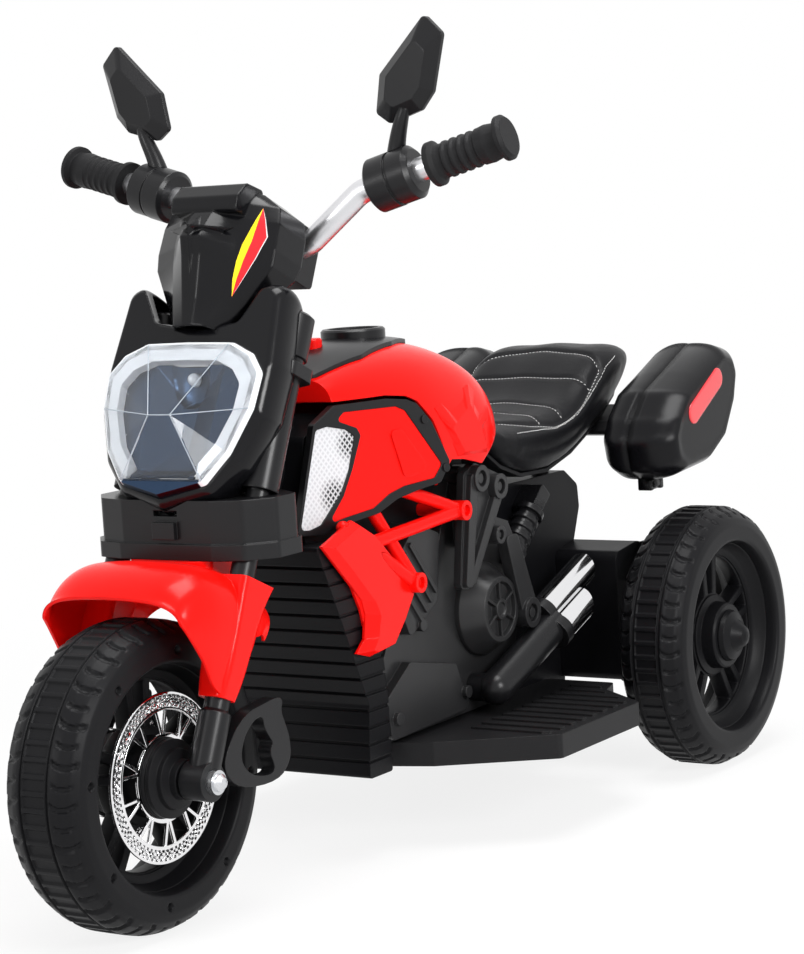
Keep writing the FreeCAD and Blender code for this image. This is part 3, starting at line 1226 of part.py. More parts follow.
board_blank = built("board_blank", board_shape())
board_left = cut("footboard_left", board_blank, engine_left, pipe_left)
pedal_line = [(-36, -172), (-36, -112), (-126, -112), (-126, -172)]
well = face_of([(x + math.copysign(2, x + 81), y + math.copysign(2, y + 142)) for x, y in pedal_line], 5)
well = well.extrude(Vector(0, 0, 40))
well.translate(Vector(0, 0, v("board_top") - 2))
hinge_x = -118
hinge_z = v("board_top") - 2 + v("pedal_gap") + 5.5
pedal_low = -170
pedal_high = -114
ear_line = [(hinge_x - 6, v("board_top") - 2), (hinge_x + 6, v("board_top") - 2),
            (hinge_x + 4, hinge_z + 5), (hinge_x - 4, hinge_z + 5)]
ears = [side_prism(ear_line, 2, pedal_low - v("pedal_gap") - 5, pedal_low - v("pedal_gap")),
        side_prism(ear_line, 2, pedal_high + v("pedal_gap"), pedal_high + v("pedal_gap") + 5)]
pedal_pin = Part.makeCylinder(v("pedal_pin"), pedal_high - pedal_low + 10,
                              Vector(hinge_x, pedal_low - 5, hinge_z), Vector(0, 1, 0))
pedal_hinge = built("pedal_hinge", ears[0].fuse([ears[1], pedal_pin]))
board_right = joined("footboard_right",
                     cut("board_with_well", mirrored("board_copy", board_left),
                         built("pedal_well", well)), pedal_hinge)
keep(board_left, board_right)


# Accelerator pedal: a ribbed plate hinged at its heel above the right board.
def pedal_shape():
    """Wedge plate with cross ribs and a heel roll."""
    top = v("board_top") - 2 + v("pedal_gap")
    wedge = side_prism([(hinge_x, top + 1), (-38, top + 9), (-38, top + 15), (hinge_x, top + 10.5)], 2,
                       pedal_low, pedal_high)
    roll = Part.makeCylinder(5, pedal_high - pedal_low, Vector(hinge_x, pedal_low, hinge_z),
                             Vector(0, 1, 0))
    bars = [Part.makeBox(5, 48, 3,
                         Vector(-104 + 14 * i, pedal_low + 4, top + 9.5 + 0.7 * i)) for i in range(5)]
    hole = Part.makeCylinder(v("pedal_pin") + v("axle_play"), 80,
                             Vector(hinge_x, pedal_low - 10, hinge_z), Vector(0, 1, 0))
    return wedge.fuse([roll] + bars).cut(hole)


pedal = built("accelerator_pedal", pedal_shape())
keep(pedal)


# Seat: a padded cushion with a low rider's place, a raised rear and a hard pan under it.
SEAT = ((-109, 58, 372, 384, 395), (-126, 74, 356, 377, 390), (-150, 81, 336, 369, 384),
        (-185, 84, 323, 366, 381), (-235, 85, 322, 366, 381), (-285, 86, 335, 375, 391),
        (-318, 86, 349, 393, 409), (-352, 85, 364, 415, 430), (-390, 81, 384, 427, 441),
        (-420, 70, 402, 427, 438), (-436, 48, 414, 424, 431))


def seat_section(row, foot=0.0, inset=0.0):
    """One cross section: flat foot, drawn-in side, rounded shoulder and a soft crown."""
    x, half, low, seam, top = row
    half -= inset
    run = [(-0.86 * half, low + foot), (-0.97 * half, low + 0.45 * (seam - low) + foot * 0.3),
           (-half, seam), (-0.9 * half, seam + 0.55 * (top - seam)), (-0.45 * half, top - 1.5),
           (0, top), (0.45 * half, top - 1.5), (0.9 * half, seam + 0.55 * (top - seam)), (half, seam),
           (0.97 * half, low + 0.45 * (seam - low) + foot * 0.3), (0.86 * half, low + foot)]
    curve = Part.BSplineCurve()
    curve.interpolate([Vector(x, y, z) for y, z in run])
    last = Part.makeLine(Vector(x, run[-1][0], run[-1][1]), Vector(x, run[0][0], run[0][1]))
    return Part.Wire([curve.toShape(), last])


pan_thick = v("seat_wall")
cushion_blank = built("cushion_blank", loft([seat_section(r, pan_thick) for r in SEAT]))
pan_rows = [(x, half - 3, low, low + pan_thick, low + pan_thick + 0.01) for x, half, low, _, _ in SEAT]
pan_rows[0] = (SEAT[0][0] + 1,) + pan_rows[0][1:]


def pan_section(row):
    """Thin foot under one cushion section."""
    x, half, low, high, _ = row
    wide = 0.86 * half
    points = [Vector(x, -wide, low), Vector(x, wide, low), Vector(x, wide, high), Vector(x, -wide, high)]
    return Part.makePolygon(points + points[:1])


pan_blank = loft([pan_section(r) for r in pan_rows], True)
props = [Part.makeCylinder(9, 60, Vector(x, y, 314)).common(loft([seat_section(r) for r in SEAT]).fuse(
    Part.makeBox(300, 200, 25, Vector(-330, -100, 314)))) for x in (-175, -290) for y in (-30, 30)]
pan_whole = pan_blank.fuse(props)
pan = built("seat_base_blank", pan_whole)
cushion = cut("seat_cushion", cushion_blank, pan, tank_part, shell_room)
pan_part = cut("seat_base", pan, shell_room)
keep(cushion, pan_part)


# Rear shocks: a moulded sleeve with ring ridges on a rod between two end caps, each side below the seat.
shock_sleeve = body("shock_sleeve")
sleeve_long = v("sleeve_length")
round_in = v("sleeve_radius")
round_out = round_in + v("sleeve_ridge")
sleeve_mark = [(v("damper_radius"), 0), (round_out, 0)]
ridge_pitch = sleeve_long / v("sleeve_rings")
for ridge in range(int(v("sleeve_rings"))):
    low = ridge * ridge_pitch
    sleeve_mark += [(round_out, low + 0.4 * ridge_pitch), (round_in, low + 0.5 * ridge_pitch),
                    (round_in, low + 0.9 * ridge_pitch)]
    if ridge + 1 < v("sleeve_rings"):
        sleeve_mark.append((round_out, low + ridge_pitch))
sleeve_mark += [(round_in, sleeve_long), (v("damper_radius"), sleeve_long)]
revolve(shock_sleeve, sketch(shock_sleeve, "XZ_Plane", straight(sleeve_mark)))
damper = body("shock_rod")
cap_out = round_out + 1.5
damper_mark = [(0, -8), (cap_out - 2, -8), (cap_out, -6), (cap_out, 0), (v("damper_radius"), 0),
               (v("damper_radius"), sleeve_long), (cap_out, sleeve_long), (cap_out, sleeve_long + 6),
               (cap_out - 2, sleeve_long + 8), (0, sleeve_long + 8)]
revolve(damper, sketch(damper, "XZ_Plane", straight(damper_mark)))
shock_low = Vector(-172, 62, 252)
shock_run = Vector(-46, 0, 40)
for thing in (shock_sleeve, damper):
    thing.Placement = Placement(shock_low, Rotation(Vector(0, 0, 1), shock_run))
eye = built("shock_eyes", Part.makeCompound([
    side_prism([(-166, 252), (-150, 262), (-146, 240), (-164, 238)], 3, v("shell_half"), 70),
    side_prism([(-202, 290), (-213, 277), (-240, 298), (-226, 311)], 3, v("shell_half"), 70)]))
damper_part = cut("shock_damper_left", joined("damper_and_eyes", damper, eye), engine_left, shock_sleeve)
keep(together("shock_springs", shock_sleeve, mirrored("shock_sleeve_right", shock_sleeve)))
keep(together("shock_dampers", damper_part, mirrored("shock_damper_right", damper_part)))


# Rear axle cover: the arched box between the rear wheels, open below, that carries the axle.
def cover_shape():
    """Hollow arched box with end walls that hold the axle."""
    half = v("cover_half")
    wall = v("cover_wall")
    outline = [(-284, 232), (-330, 238), (-384, 226), (-424, 196), (-440, 160), (-440, 96), (-284, 96)]
    solid = side_prism(outline, 10, -half, half)
    inner = [(-284 - wall, 232 - wall), (-330, 238 - wall), (-383, 226 - wall), (-421, 194),
             (-440 + wall, 159), (-440 + wall, 60), (-284 - wall, 60)]
    room = side_prism(inner, 8, wall - half, half - wall)
    hubs = [Part.makeCylinder(18, 16, Vector(-v("half_base"), y, v("wheel_radius")),
                              Vector(0, 1, 0)) for y in (half - wall - 0.1, -half + wall - 15.9)]
    ribs = [side_prism([(-300, 200), (-340, 236), (-352, 236), (-312, 200)], 2, y,
                       y + 4) for y in (half - 0.5, -half - 3.5)]
    return solid.cut(room).fuse(hubs + ribs)


cover = cut("axle_cover", built("cover_blank", cover_shape()), rear_axle, shell_room)
keep(cover)

# Drive and power: geared motor on the axle cover wall, battery inside the shell.
motor_can = built("motor_can",
                  Part.makeCylinder(19, 62, Vector(-v("half_base") + 36, 14, 172), Vector(0, 1, 0)))
case_line = [(-v("half_base") - 30, 112), (-v("half_base") - 30, 158), (-v("half_base") + 14, 196),
             (-v("half_base") + 56, 190), (-v("half_base") + 56, 150), (-v("half_base") + 20, 112)]
gear_case = built("gear_case", side_prism(case_line, 8, 76, v("cover_half") - v("cover_wall") - 16.2))
drive = cut("gear_motor", joined("motor_and_case", motor_can, gear_case), rear_axle, cover)
battery = doc.addObject("Part::Box", "battery")
battery.setExpression("Length", "dims.battery_long")
battery.setExpression("Width", "dims.battery_wide")
battery.setExpression("Height", "dims.battery_high")
battery.setExpression("Placement.Base.x", "-dims.battery_long")
battery.setExpression("Placement.Base.y", "-dims.battery_wide / 2")
battery.setExpression("Placement.Base.z", "dims.belly + dims.shell_wall")
keep(drive, battery)

# Side cases: an inner shell on a carrier under the seat and a domed lid hinged at the bottom edge.
case_plan = [(-284, 345), (-291, 316), (-312, 305), (-380, 311), (-424, 334), (-454, 378), (-464, 412),
             (-456, 430), (-430, 436), (-372, 412), (-326, 394), (-298, 368)]
case_middle = (-372, 368)


def case_wire(scale, y, inset=0.0):
    """Case outline scaled about its middle at one distance from the middle plane."""
    points = []
    for x, z in case_plan:
        away = Vector(x - case_middle[0], z - case_middle[1], 0)
        away = away * (scale - inset / away.Length)
        points.append((case_middle[0] + away.x, case_middle[1] + away.y))
    wire = Part.Wire([c.toShape() for c in corners(points, 12)])
    wire.Placement = Placement(Vector(0, y, 0), Rotation(Vector(1, 0, 0), 90))
    return wire


case_seam = v("bag_seam")
case_wall = v("bag_wall")
inner_y = v("bag_inner")
outer_y = v("bag_outer")
inner_out = loft([case_wire(0.86, inner_y), case_wire(0.96, inner_y + 10), case_wire(1, case_seam)])
inner_in = loft([case_wire(0.86, inner_y + case_wall, case_wall),
                 case_wire(0.96, inner_y + 10 + case_wall, case_wall),
                 case_wire(1, case_seam + case_wall, case_wall)])
lid_low = case_seam + v("bag_gap")
lid_out = loft([case_wire(1, lid_low), case_wire(1, lid_low + 16), case_wire(0.94, outer_y - 14),
                case_wire(0.78, outer_y)])
lid_in = loft([case_wire(1, lid_low - case_wall, case_wall), case_wire(1, lid_low + 14, case_wall),
               case_wire(0.94, outer_y - 14 - case_wall, case_wall),
               case_wire(0.78, outer_y - case_wall, case_wall)])
case_hinge = 298
case_pin = Part.makeCylinder(v("hinge_radius"), 30, Vector(-350, case_seam, case_hinge), Vector(1, 0, 0))
knuckle = Part.makeCylinder(v("hinge_radius") + 3.5, 12, Vector(-341, case_seam, case_hinge),
                            Vector(1, 0, 0))
knuckle_room = Part.makeCylinder(v("hinge_radius") + 3.5 + v("hinge_gap"), 12 + 2 * v("hinge_gap"),
                                 Vector(-341 - v("hinge_gap"), case_seam, case_hinge), Vector(1, 0, 0))
pin_room = Part.makeCylinder(v("hinge_radius") + v("hinge_gap"), 40,
                             Vector(-355, case_seam, case_hinge), Vector(1, 0, 0))
case_ears = [side_prism([(x, case_hinge - 6), (x + 8.5, case_hinge - 6), (x + 8.5, 322), (x, 322)], 2,
                        case_seam - 8, case_seam + 5.5) for x in (-350, -328.5)]
ear_cut = Part.makeBox(200, 60, 80, Vector(-450, lid_low - 0.4, 302))
shell_case = inner_out.cut(inner_in)
shell_case = shell_case.fuse([e.cut(ear_cut).cut(inner_in) for e in case_ears] + [case_pin])
tab = side_prism([(-341, case_hinge - 1), (-329, case_hinge - 1), (-329, 322), (-341, 322)], 1, lid_low,
                 lid_low + 5)
lid_case = lid_out.cut(lid_in)
lid_case = lid_case.fuse([tab.cut(lid_in), knuckle.cut(pin_room)]).cut(pin_room)
lid_left = built("bag_lid_left", lid_case)
case_left = built("bag_shell_left", shell_case.cut(knuckle_room))
keep(together("bag_shells", case_left, mirrored("bag_shell_right", case_left)))
keep(lid_left, mirrored("bag_lid_right", lid_left))
carrier_line = [(-330, 350), (-342, 362), (-390, 376), (-396, 362), (-350, 346)]
carrier = built("carrier_blank", side_prism(carrier_line, 3, -inner_y, inner_y))
carrier_part = cut("bag_carrier", carrier, pan_part, cushion)
keep(carrier_part)

# Body screws: cross-head screws in the side strips and the axle cover.
screw_list = []
for x, z in ((24, 404), (1, 356)):
    screw_list.append((Vector(x, v("side_flare") - slope * x, z) + outward * 2, outward))
screws = []
for start, way in screw_list:
    head = Part.makeCylinder(4, 1.6, start, way)
    screws.append(head)
screw_left = built("strip_screws", Part.makeCompound(screws))
keep(together("body_screws", screw_left, mirrored("strip_screws_right", screw_left)))

doc.recompute()
for thing in parts:
    shape = thing.Shape
    if thing.State and ("Invalid" in thing.State or "Error" in thing.State):
        raise ValueError(thing.Label + " did not build")
    if shape.isNull() or not shape.isValid():
        raise ValueError(thing.Label + " has no valid shape")
    shape.exportStep("parts/%s.step" % thing.Label)
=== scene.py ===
"""Looks of a child's ride-on electric motorbike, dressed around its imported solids.

X is forward, Y to the rider's left and Z up, in metres, with the floor at zero.
"""
import math

import bmesh
import bpy
import numpy as np
from mathutils import Matrix, Vector
from mathutils.bvhtree import BVHTree


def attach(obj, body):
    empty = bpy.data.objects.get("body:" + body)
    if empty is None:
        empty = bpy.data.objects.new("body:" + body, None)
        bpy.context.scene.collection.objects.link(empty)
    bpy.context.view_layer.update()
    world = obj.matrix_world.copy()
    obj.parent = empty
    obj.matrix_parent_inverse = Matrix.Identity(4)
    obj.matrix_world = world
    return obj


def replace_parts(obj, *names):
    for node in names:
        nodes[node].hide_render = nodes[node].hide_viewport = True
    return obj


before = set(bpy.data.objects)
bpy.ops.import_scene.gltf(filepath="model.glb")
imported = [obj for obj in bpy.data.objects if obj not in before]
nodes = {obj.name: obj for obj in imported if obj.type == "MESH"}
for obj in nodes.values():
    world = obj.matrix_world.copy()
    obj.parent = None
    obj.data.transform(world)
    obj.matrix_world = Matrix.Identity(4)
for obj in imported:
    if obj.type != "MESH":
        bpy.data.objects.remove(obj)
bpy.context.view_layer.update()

# Studio: a wide pale floor that keeps the soft shadow under the wheels, a white surround, and
# three large soft lamps. The camera stands ahead of the bike on the rider's left.
scene = bpy.context.scene
scene.view_settings.view_transform = "Standard"


def fresh_material(name):
    """New node material, with its tree and its Principled shader."""
    made = bpy.data.materials.new(name)
    made.use_nodes = True
    tree = made.node_tree
    return made, tree, tree.nodes["Principled BSDF"]


def feed(tree, socket, source):
    """Links a socket to the output of another node, or sets it to a plain value."""
    if isinstance(source, bpy.types.NodeSocket):
        tree.links.new(source, socket)
    else:
        socket.default_value = source


def set_sockets(tree, node, sources):
    """Feeds the sockets of a node by their names."""
    for name, source in sources.items():
        feed(tree, node.inputs[name], source)


def worked_out(tree, operation, *terms):
    """Result of a Math node on its terms."""
    made = tree.nodes.new("ShaderNodeMath")
    made.operation = operation
    for socket, term in zip(made.inputs, terms):
        feed(tree, socket, term)
    return made.outputs[0]


def seen_directly(tree):
    """One for camera, glossy and transmission rays, and zero for the light that falls on things."""
    path = tree.nodes.new("ShaderNodeLightPath")
    either = worked_out(tree, "MAXIMUM", path.outputs["Is Camera Ray"], path.outputs["Is Glossy Ray"])
    return worked_out(tree, "MAXIMUM", either, path.outputs["Is Transmission Ray"])


def shown_by_share(tree, share, first, second, output):
    """Mixes two shaders by a share and sends them to an output."""
    mix = tree.nodes.new("ShaderNodeMixShader")
    for socket, source in zip(mix.inputs, (share, first.outputs[0], second.outputs[0])):
        tree.links.new(source, socket)
    tree.links.new(mix.outputs[0], tree.nodes[output].inputs["Surface"])


floor_mesh = bpy.data.meshes.new("studio_floor")
floor_mesh.from_pydata([(-9, -9, 0), (9, -9, 0), (9, 9, 0), (-9, 9, 0)], [], [(0, 1, 2, 3)])
floor = bpy.data.objects.new("studio_floor", floor_mesh)
scene.collection.objects.link(floor)
floor_paper, tree, shader = fresh_material("studio_paper")
set_sockets(tree, shader, {"Base Color": (0.95, 0.95, 0.95, 1), "Roughness": 0.9, "Specular IOR Level": 0.0})
glow = tree.nodes.new("ShaderNodeEmission")
set_sockets(tree, glow, {"Strength": 1.0})
place = tree.nodes.new("ShaderNodeTexCoord")
away = tree.nodes.new("ShaderNodeVectorMath")
away.operation = "LENGTH"
feed(tree, away.inputs[0], place.outputs["Object"])
fade = tree.nodes.new("ShaderNodeMapRange")
fade.interpolation_type = "SMOOTHSTEP"
set_sockets(tree, fade, {"Value": away.outputs["Value"], "From Min": 0.5, "From Max": 1.5,
                         "To Min": 0.84, "To Max": 1.0})
share = worked_out(tree, "MULTIPLY", seen_directly(tree), fade.outputs["Result"])
shown_by_share(tree, share, shader, glow, "Material Output")
floor_mesh.materials.append(floor_paper)

surround = bpy.data.worlds.new("studio_surround")
scene.world = surround
surround.use_nodes = True
tree = surround.node_tree
dim_light = tree.nodes["Background"]
white_back = tree.nodes.new("ShaderNodeBackground")
for back, strength in ((dim_light, 0.42), (white_back, 1.0)):
    set_sockets(tree, back, {"Color": (1, 1, 1, 1), "Strength": strength})
shown_by_share(tree, seen_directly(tree), dim_light, white_back, "World Output")


def soft_lamp(name, place, aim, size, power):
    """Square area lamp facing a point."""
    data = bpy.data.lights.new(name, "AREA")
    data.shape = "SQUARE"
    data.size = size
    data.energy = power
    lamp = bpy.data.objects.new(name, data)
    lamp.location = place
    lamp.rotation_euler = (Vector(aim) - Vector(place)).to_track_quat("-Z", "Y").to_euler()
    scene.collection.objects.link(lamp)


soft_lamp("overhead_box", (0.1, 0.4, 2.5), (0, 0, 0.3), 1.3, 48)
soft_lamp("left_box", (1.0, 2.6, 1.4), (0, 0, 0.35), 0.9, 52)
soft_lamp("front_box", (2.8, -0.7, 1.2), (0.1, 0, 0.35), 0.7, 16)

camera_data = bpy.data.cameras.new("studio_camera")
focal_pixels, picture_height, sensor_width = 2678.06, 954, 36
camera_place = (2.1113, 1.4461, 0.6293)
camera_data.sensor_width = sensor_width
camera_data.lens = focal_pixels * sensor_width / picture_height
camera_data.clip_end = 50
camera = bpy.data.objects.new("studio_camera", camera_data)
yaw, pitch, roll = math.radians(33.5), math.radians(6.375), math.radians(-3.548)
ahead = Vector((-math.cos(yaw) * math.cos(pitch), -math.sin(yaw) * math.cos(pitch), -math.sin(pitch)))
level = Vector((-math.sin(yaw), math.cos(yaw), 0))
upward = level.cross(ahead)
right = level * math.cos(roll) + upward * math.sin(roll)
top = upward * math.cos(roll) - level * math.sin(roll)
turn = Matrix((right, top, -ahead)).transposed()
camera.matrix_world = Matrix.Translation(camera_place) @ turn.to_4x4()
scene.collection.objects.link(camera)
scene.camera = camera

# Body shell and what bolts to it: injected black polypropylene halves, front cover, footboards and
# axle cover, screwed together. The mould leaves a fine grain, a little uneven in sheen and dusty.
def textured(tree, kind, sources):
    """Texture or mapping node of a kind on Object coordinates, with its sockets fed."""
    made = tree.nodes.new(kind)
    place = tree.nodes.new("ShaderNodeTexCoord")
    feed(tree, made.inputs["Vector"], place.outputs["Object"])
    set_sockets(tree, made, sources)
    return made


def colour_mix(tree, share, first, second):
    """Colour that goes from a first to a second with a share."""
    made = tree.nodes.new("ShaderNodeMix")
    made.data_type = "RGBA"
    set_sockets(tree, made, {"Factor": share, "A": first, "B": second})
    return made.outputs["Result"]


def raised(tree, shader, height, strength, distance):
    """Bump node that raises a shader's surface by a height."""
    bump = tree.nodes.new("ShaderNodeBump")
    set_sockets(tree, bump, {"Height": height, "Strength": strength, "Distance": distance})
    feed(tree, shader.inputs["Normal"], bump.outputs["Normal"])
    return bump


def moulded_skin_group():
    """Colour, roughness and height of a moulded skin: fine grain, uneven sheen and pale dust."""
    tree = bpy.data.node_groups.new("moulded_skin", "ShaderNodeTree")
    for name, kind, value in (("Colour", "NodeSocketColor", (0.02, 0.02, 0.02, 1)),
                              ("Sheen", "NodeSocketFloat", 0.45), ("Grain", "NodeSocketFloat", 1500.0),
                              ("Dust", "NodeSocketFloat", 0.03)):
        socket = tree.interface.new_socket(name=name, in_out="INPUT", socket_type=kind)
        socket.default_value = value
    for name, kind in (("Colour", "NodeSocketColor"), ("Roughness", "NodeSocketFloat"),
                       ("Height", "NodeSocketFloat")):
        tree.interface.new_socket(name=name, in_out="OUTPUT", socket_type=kind)
    start = tree.nodes.new("NodeGroupInput").outputs
    end = tree.nodes.new("NodeGroupOutput")
    uneven, dust_colour = 0.16, (0.5, 0.49, 0.47, 1)
    fine = textured(tree, "ShaderNodeTexNoise", {"Scale": start["Grain"], "Detail": 2})
    slow = textured(tree, "ShaderNodeTexNoise", {"Scale": 11, "Detail": 4})
    dust = worked_out(tree, "MULTIPLY", slow.outputs["Fac"], start["Dust"])
    sheen = worked_out(tree, "MULTIPLY_ADD", slow.outputs["Fac"], uneven, start["Sheen"])
    set_sockets(tree, end, {"Colour": colour_mix(tree, dust, start["Colour"], dust_colour),
                            "Roughness": sheen, "Height": fine.outputs["Fac"]})
    return tree


moulded_skin = moulded_skin_group()


def moulded(name, colour, sheen, grain, dust, depth, gloss, coat=0.0, ease=0.0014):
    """Material of one moulded plastic finish, with its edges eased by the mould. A colour without dust is
    the same all over, so it is set on the shader itself."""
    grain_strength, coat_roughness = 0.35, 0.04
    made, tree, shader = fresh_material(name)
    skin = tree.nodes.new("ShaderNodeGroup")
    skin.node_tree = moulded_skin
    set_sockets(tree, skin, {"Colour": (*colour, 1), "Sheen": sheen, "Grain": grain, "Dust": dust})
    eased = tree.nodes.new("ShaderNodeBevel")
    eased.samples = 6
    set_sockets(tree, eased, {"Radius": ease})
    bump = raised(tree, shader, skin.outputs["Height"], grain_strength, depth)
    feed(tree, bump.inputs["Normal"], eased.outputs["Normal"])
    set_sockets(tree, shader, {"Base Color": skin.outputs["Colour"] if dust else (*colour, 1),
                               "Roughness": skin.outputs["Roughness"], "Specular IOR Level": gloss,
                               "Coat Weight": coat, "Coat Roughness": coat_roughness})
    return made


def dress(material, *names):
    """Gives CAD nodes a finish."""
    for name in names:
        nodes[name].data.materials.clear()
        nodes[name].data.materials.append(material)


black_grained = moulded("black_grained_plastic", (0.007, 0.007, 0.008), 0.34, 1400, 0.012, 0.0003, 0.17)
# The shell halves, front cover and axle cover are the same plastic as the footboards, in a darker copy:
# painted shade on their upright sides.
black_shell_painted_shade = moulded("black_plastic_painted_shade", (0.004, 0.004, 0.005), 0.30, 1400, 0.005, 0.0003, 0.10)
dress(black_shell_painted_shade, "body_shell_left", "body_shell_right", "radiator_cover", "axle_cover")
dress(black_grained, "head_bushes", "footboard_left", "footboard_right", "accelerator_pedal", "seat_base",
      "bag_carrier", "battery")

# Steel parts: turned axles with acorn nuts, the steering stem and the geared motor's can, all zinc
# plated.
def metal(name, colour, rough, scratch, stretch):
    """Material of a bright metal finish, with fine scratches drawn out along one axis."""
    made, tree, shader = fresh_material(name)
    drawn = textured(tree, "ShaderNodeMapping", {"Scale": stretch})
    lines = tree.nodes.new("ShaderNodeTexNoise")
    set_sockets(tree, lines, {"Vector": drawn.outputs["Vector"], "Scale": 160, "Detail": 3})
    spread = worked_out(tree, "MULTIPLY_ADD", lines.outputs["Fac"], scratch, rough)
    set_sockets(tree, shader, {"Base Color": (*colour, 1), "Metallic": 1.0, "Roughness": spread})
    return made


zinc = metal("zinc_plating", (0.66, 0.67, 0.69), 0.2, 0.15, (1, 6, 1))
dress(zinc, "front_axle", "rear_axle", "steering_stem", "gear_motor")

# Wheels: one-piece moulded black wheels. A ribbed middle band runs between two grooves, curved
# sipes cross the shoulders, and a dished rim with paired spokes carries the hub on the axle.
wheel_black = moulded("wheel_black_plastic", (0.005, 0.005, 0.006), 0.34, 900, 0.006, 0.0002, 0.12)


def finished(mesh, name, material, body, sharp):
    """Closes seams and poles of a mesh, turns its faces outward, and hangs it on a CAD body."""
    work = bmesh.new()
    work.from_mesh(mesh)
    bmesh.ops.remove_doubles(work, verts=work.verts, dist=1e-6)
    bmesh.ops.recalc_face_normals(work, faces=work.faces)
    work.to_mesh(mesh)
    work.free()
    mesh.shade_smooth()
    mesh.set_sharp_from_angle(angle=math.radians(sharp))
    mesh.materials.append(material)
    made = bpy.data.objects.new(name, mesh)
    scene.collection.objects.link(made)
    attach(made, body)
    return made


def grid_piece(name, points, material, body, wrap_rows=False, wrap_columns=False, kept=None, sharp=38):
    """Piece from points in rows and columns: each cell is a quad, and a wrapped side closes on itself.
    Cells that aren't kept stay open, and points that no cell uses are left out."""
    rows, columns = points.shape[:2]
    index = np.arange(rows * columns).reshape(rows, columns)
    below = np.roll(index, -1, axis=0)
    quads = np.stack([index, below, np.roll(below, -1, axis=1), np.roll(index, -1, axis=1)], axis=-1)
    used = np.ones((rows, columns), bool) if kept is None else kept.copy()
    used[-1] &= wrap_rows
    used[:, -1] &= wrap_columns
    corners, faces = np.unique(quads[used], return_inverse=True)
    mesh = bpy.data.meshes.new(name)
    mesh.from_pydata(points.reshape(-1, 3)[corners].tolist(), [], faces.reshape(-1, 4).tolist())
    return finished(mesh, name, material, body, sharp)


def smooth_step(low, high, value):
    """Zero before low, one after high, and an even S between them."""
    share = np.clip((value - low) / (high - low), 0, 1)
    return share * share * (3 - 2 * share)


def tyre_piece(name, centre, half, vent, body):
    """Tyre turned about its axle: the outer profile, lowered at slots, grooves, sipes and vent holes."""
    profile_steps, turn_steps = 132, 540
    bars, slot_depth, groove_depth = 60, 0.0019, 0.0022
    sipe_pairs, long_depth, short_depth = 24, 0.0023, 0.0020
    holes, hole_ring, hole_edge, hole_floor = 8, 0.109, 0.0038, 0.0026
    side = np.array([(0.1350, 0), (0.1350, 0.010), (0.1348, 0.018), (0.1332, half - 0.017),
                     (0.1284, half - 0.0070), (0.1218, half - 0.0018), (0.1150, half), (0.1010, half),
                     (0.0988, half - 0.0012), (0.0975, half - 0.0055), (0.0965, half - 0.0125)])
    run = np.concatenate([side[::-1] * (1, -1), side[1:]])
    length = np.concatenate([[0], np.cumsum(np.hypot(*np.diff(run, axis=0).T))])
    steps = np.linspace(0, length[-1], profile_steps)
    radius = np.interp(steps, length, run[:, 0])
    across = np.interp(steps, length, run[:, 1])
    for line in (radius, across):
        line[1:-1] = np.convolve(line, (0.25, 0.5, 0.25), "valid")
    slope = np.stack([np.gradient(across), -np.gradient(radius)])
    slope /= np.linalg.norm(slope, axis=0)
    angle = np.linspace(0, 2 * np.pi, turn_steps, endpoint=False)[:, None]
    reach = np.abs(across)[None, :]
    turn = angle / (2 * np.pi)
    bar = np.abs((turn * bars) % 1 - 0.5)
    slots = smooth_step(0.34, 0.27, bar) * smooth_step(0.0122, 0.0112, reach) * slot_depth
    grooves = smooth_step(0.0125, 0.0132, reach) * smooth_step(0.0162, 0.0154, reach) * groove_depth
    out = np.clip((reach - 0.016) / (half - 0.021), 0, 1.2)
    swing = turn * sipe_pairs + np.sign(across)[None, :] * 0.06 + 0.50 * out - 0.42 * out ** 2
    long_line = smooth_step(0.10, 0.045, np.abs(swing % 1 - 0.25))
    long_line = long_line * smooth_step(0.02, 0.07, out) * smooth_step(1.14, 1.04, out)
    short_line = smooth_step(0.08, 0.035, np.abs(swing % 1 - 0.75))
    short_line = short_line * smooth_step(0.12, 0.20, out) * smooth_step(1.02, 0.92, out)
    sipes = long_line * long_depth + short_line * short_depth
    sipes = sipes * smooth_step(0.1170, 0.1195, radius)[None, :]
    arc = ((turn * holes + 0.3) % 1 - 0.5) * 2 * np.pi / holes * hole_ring
    hole = np.hypot(arc, radius[None, :] - hole_ring)
    vents = smooth_step(hole_edge, hole_floor, hole) * (reach > half - 0.004) * vent
    depth = slots + grooves + sipes + vents
    r = radius[None, :] - depth * slope[0][None, :]
    y = across[None, :] - depth * slope[1][None, :]
    points = np.stack([centre[0] + r * np.cos(angle), centre[1] + y + 0 * angle,
                       centre[2] + r * np.sin(angle)], axis=-1)
    return grid_piece(name, points, wheel_black, body, True, True, sharp=30)


def turned_piece(name, profile, centre, material, body, steps=96, sharp=34):
    """Closed profile of radius and distance along the axle, turned once about the axle."""
    line = np.array(profile)
    angle = np.linspace(0, 2 * np.pi, steps, endpoint=False)[:, None]
    points = np.stack([centre[0] + line[:, 0] * np.cos(angle), centre[1] + line[:, 1] + 0 * angle,
                       centre[2] + line[:, 0] * np.sin(angle)], axis=-1)
    return grid_piece(name, points, material, body, True, True, sharp=sharp)


def thickened(made, thick, rounding):
    """Gives a flat piece a wall and rounded edges."""
    wall = made.modifiers.new("wall", "SOLIDIFY")
    wall.thickness = thick
    wall.offset = 0
    edge = made.modifiers.new("rounded_edges", "BEVEL")
    edge.width = rounding
    edge.segments = 2
    return made


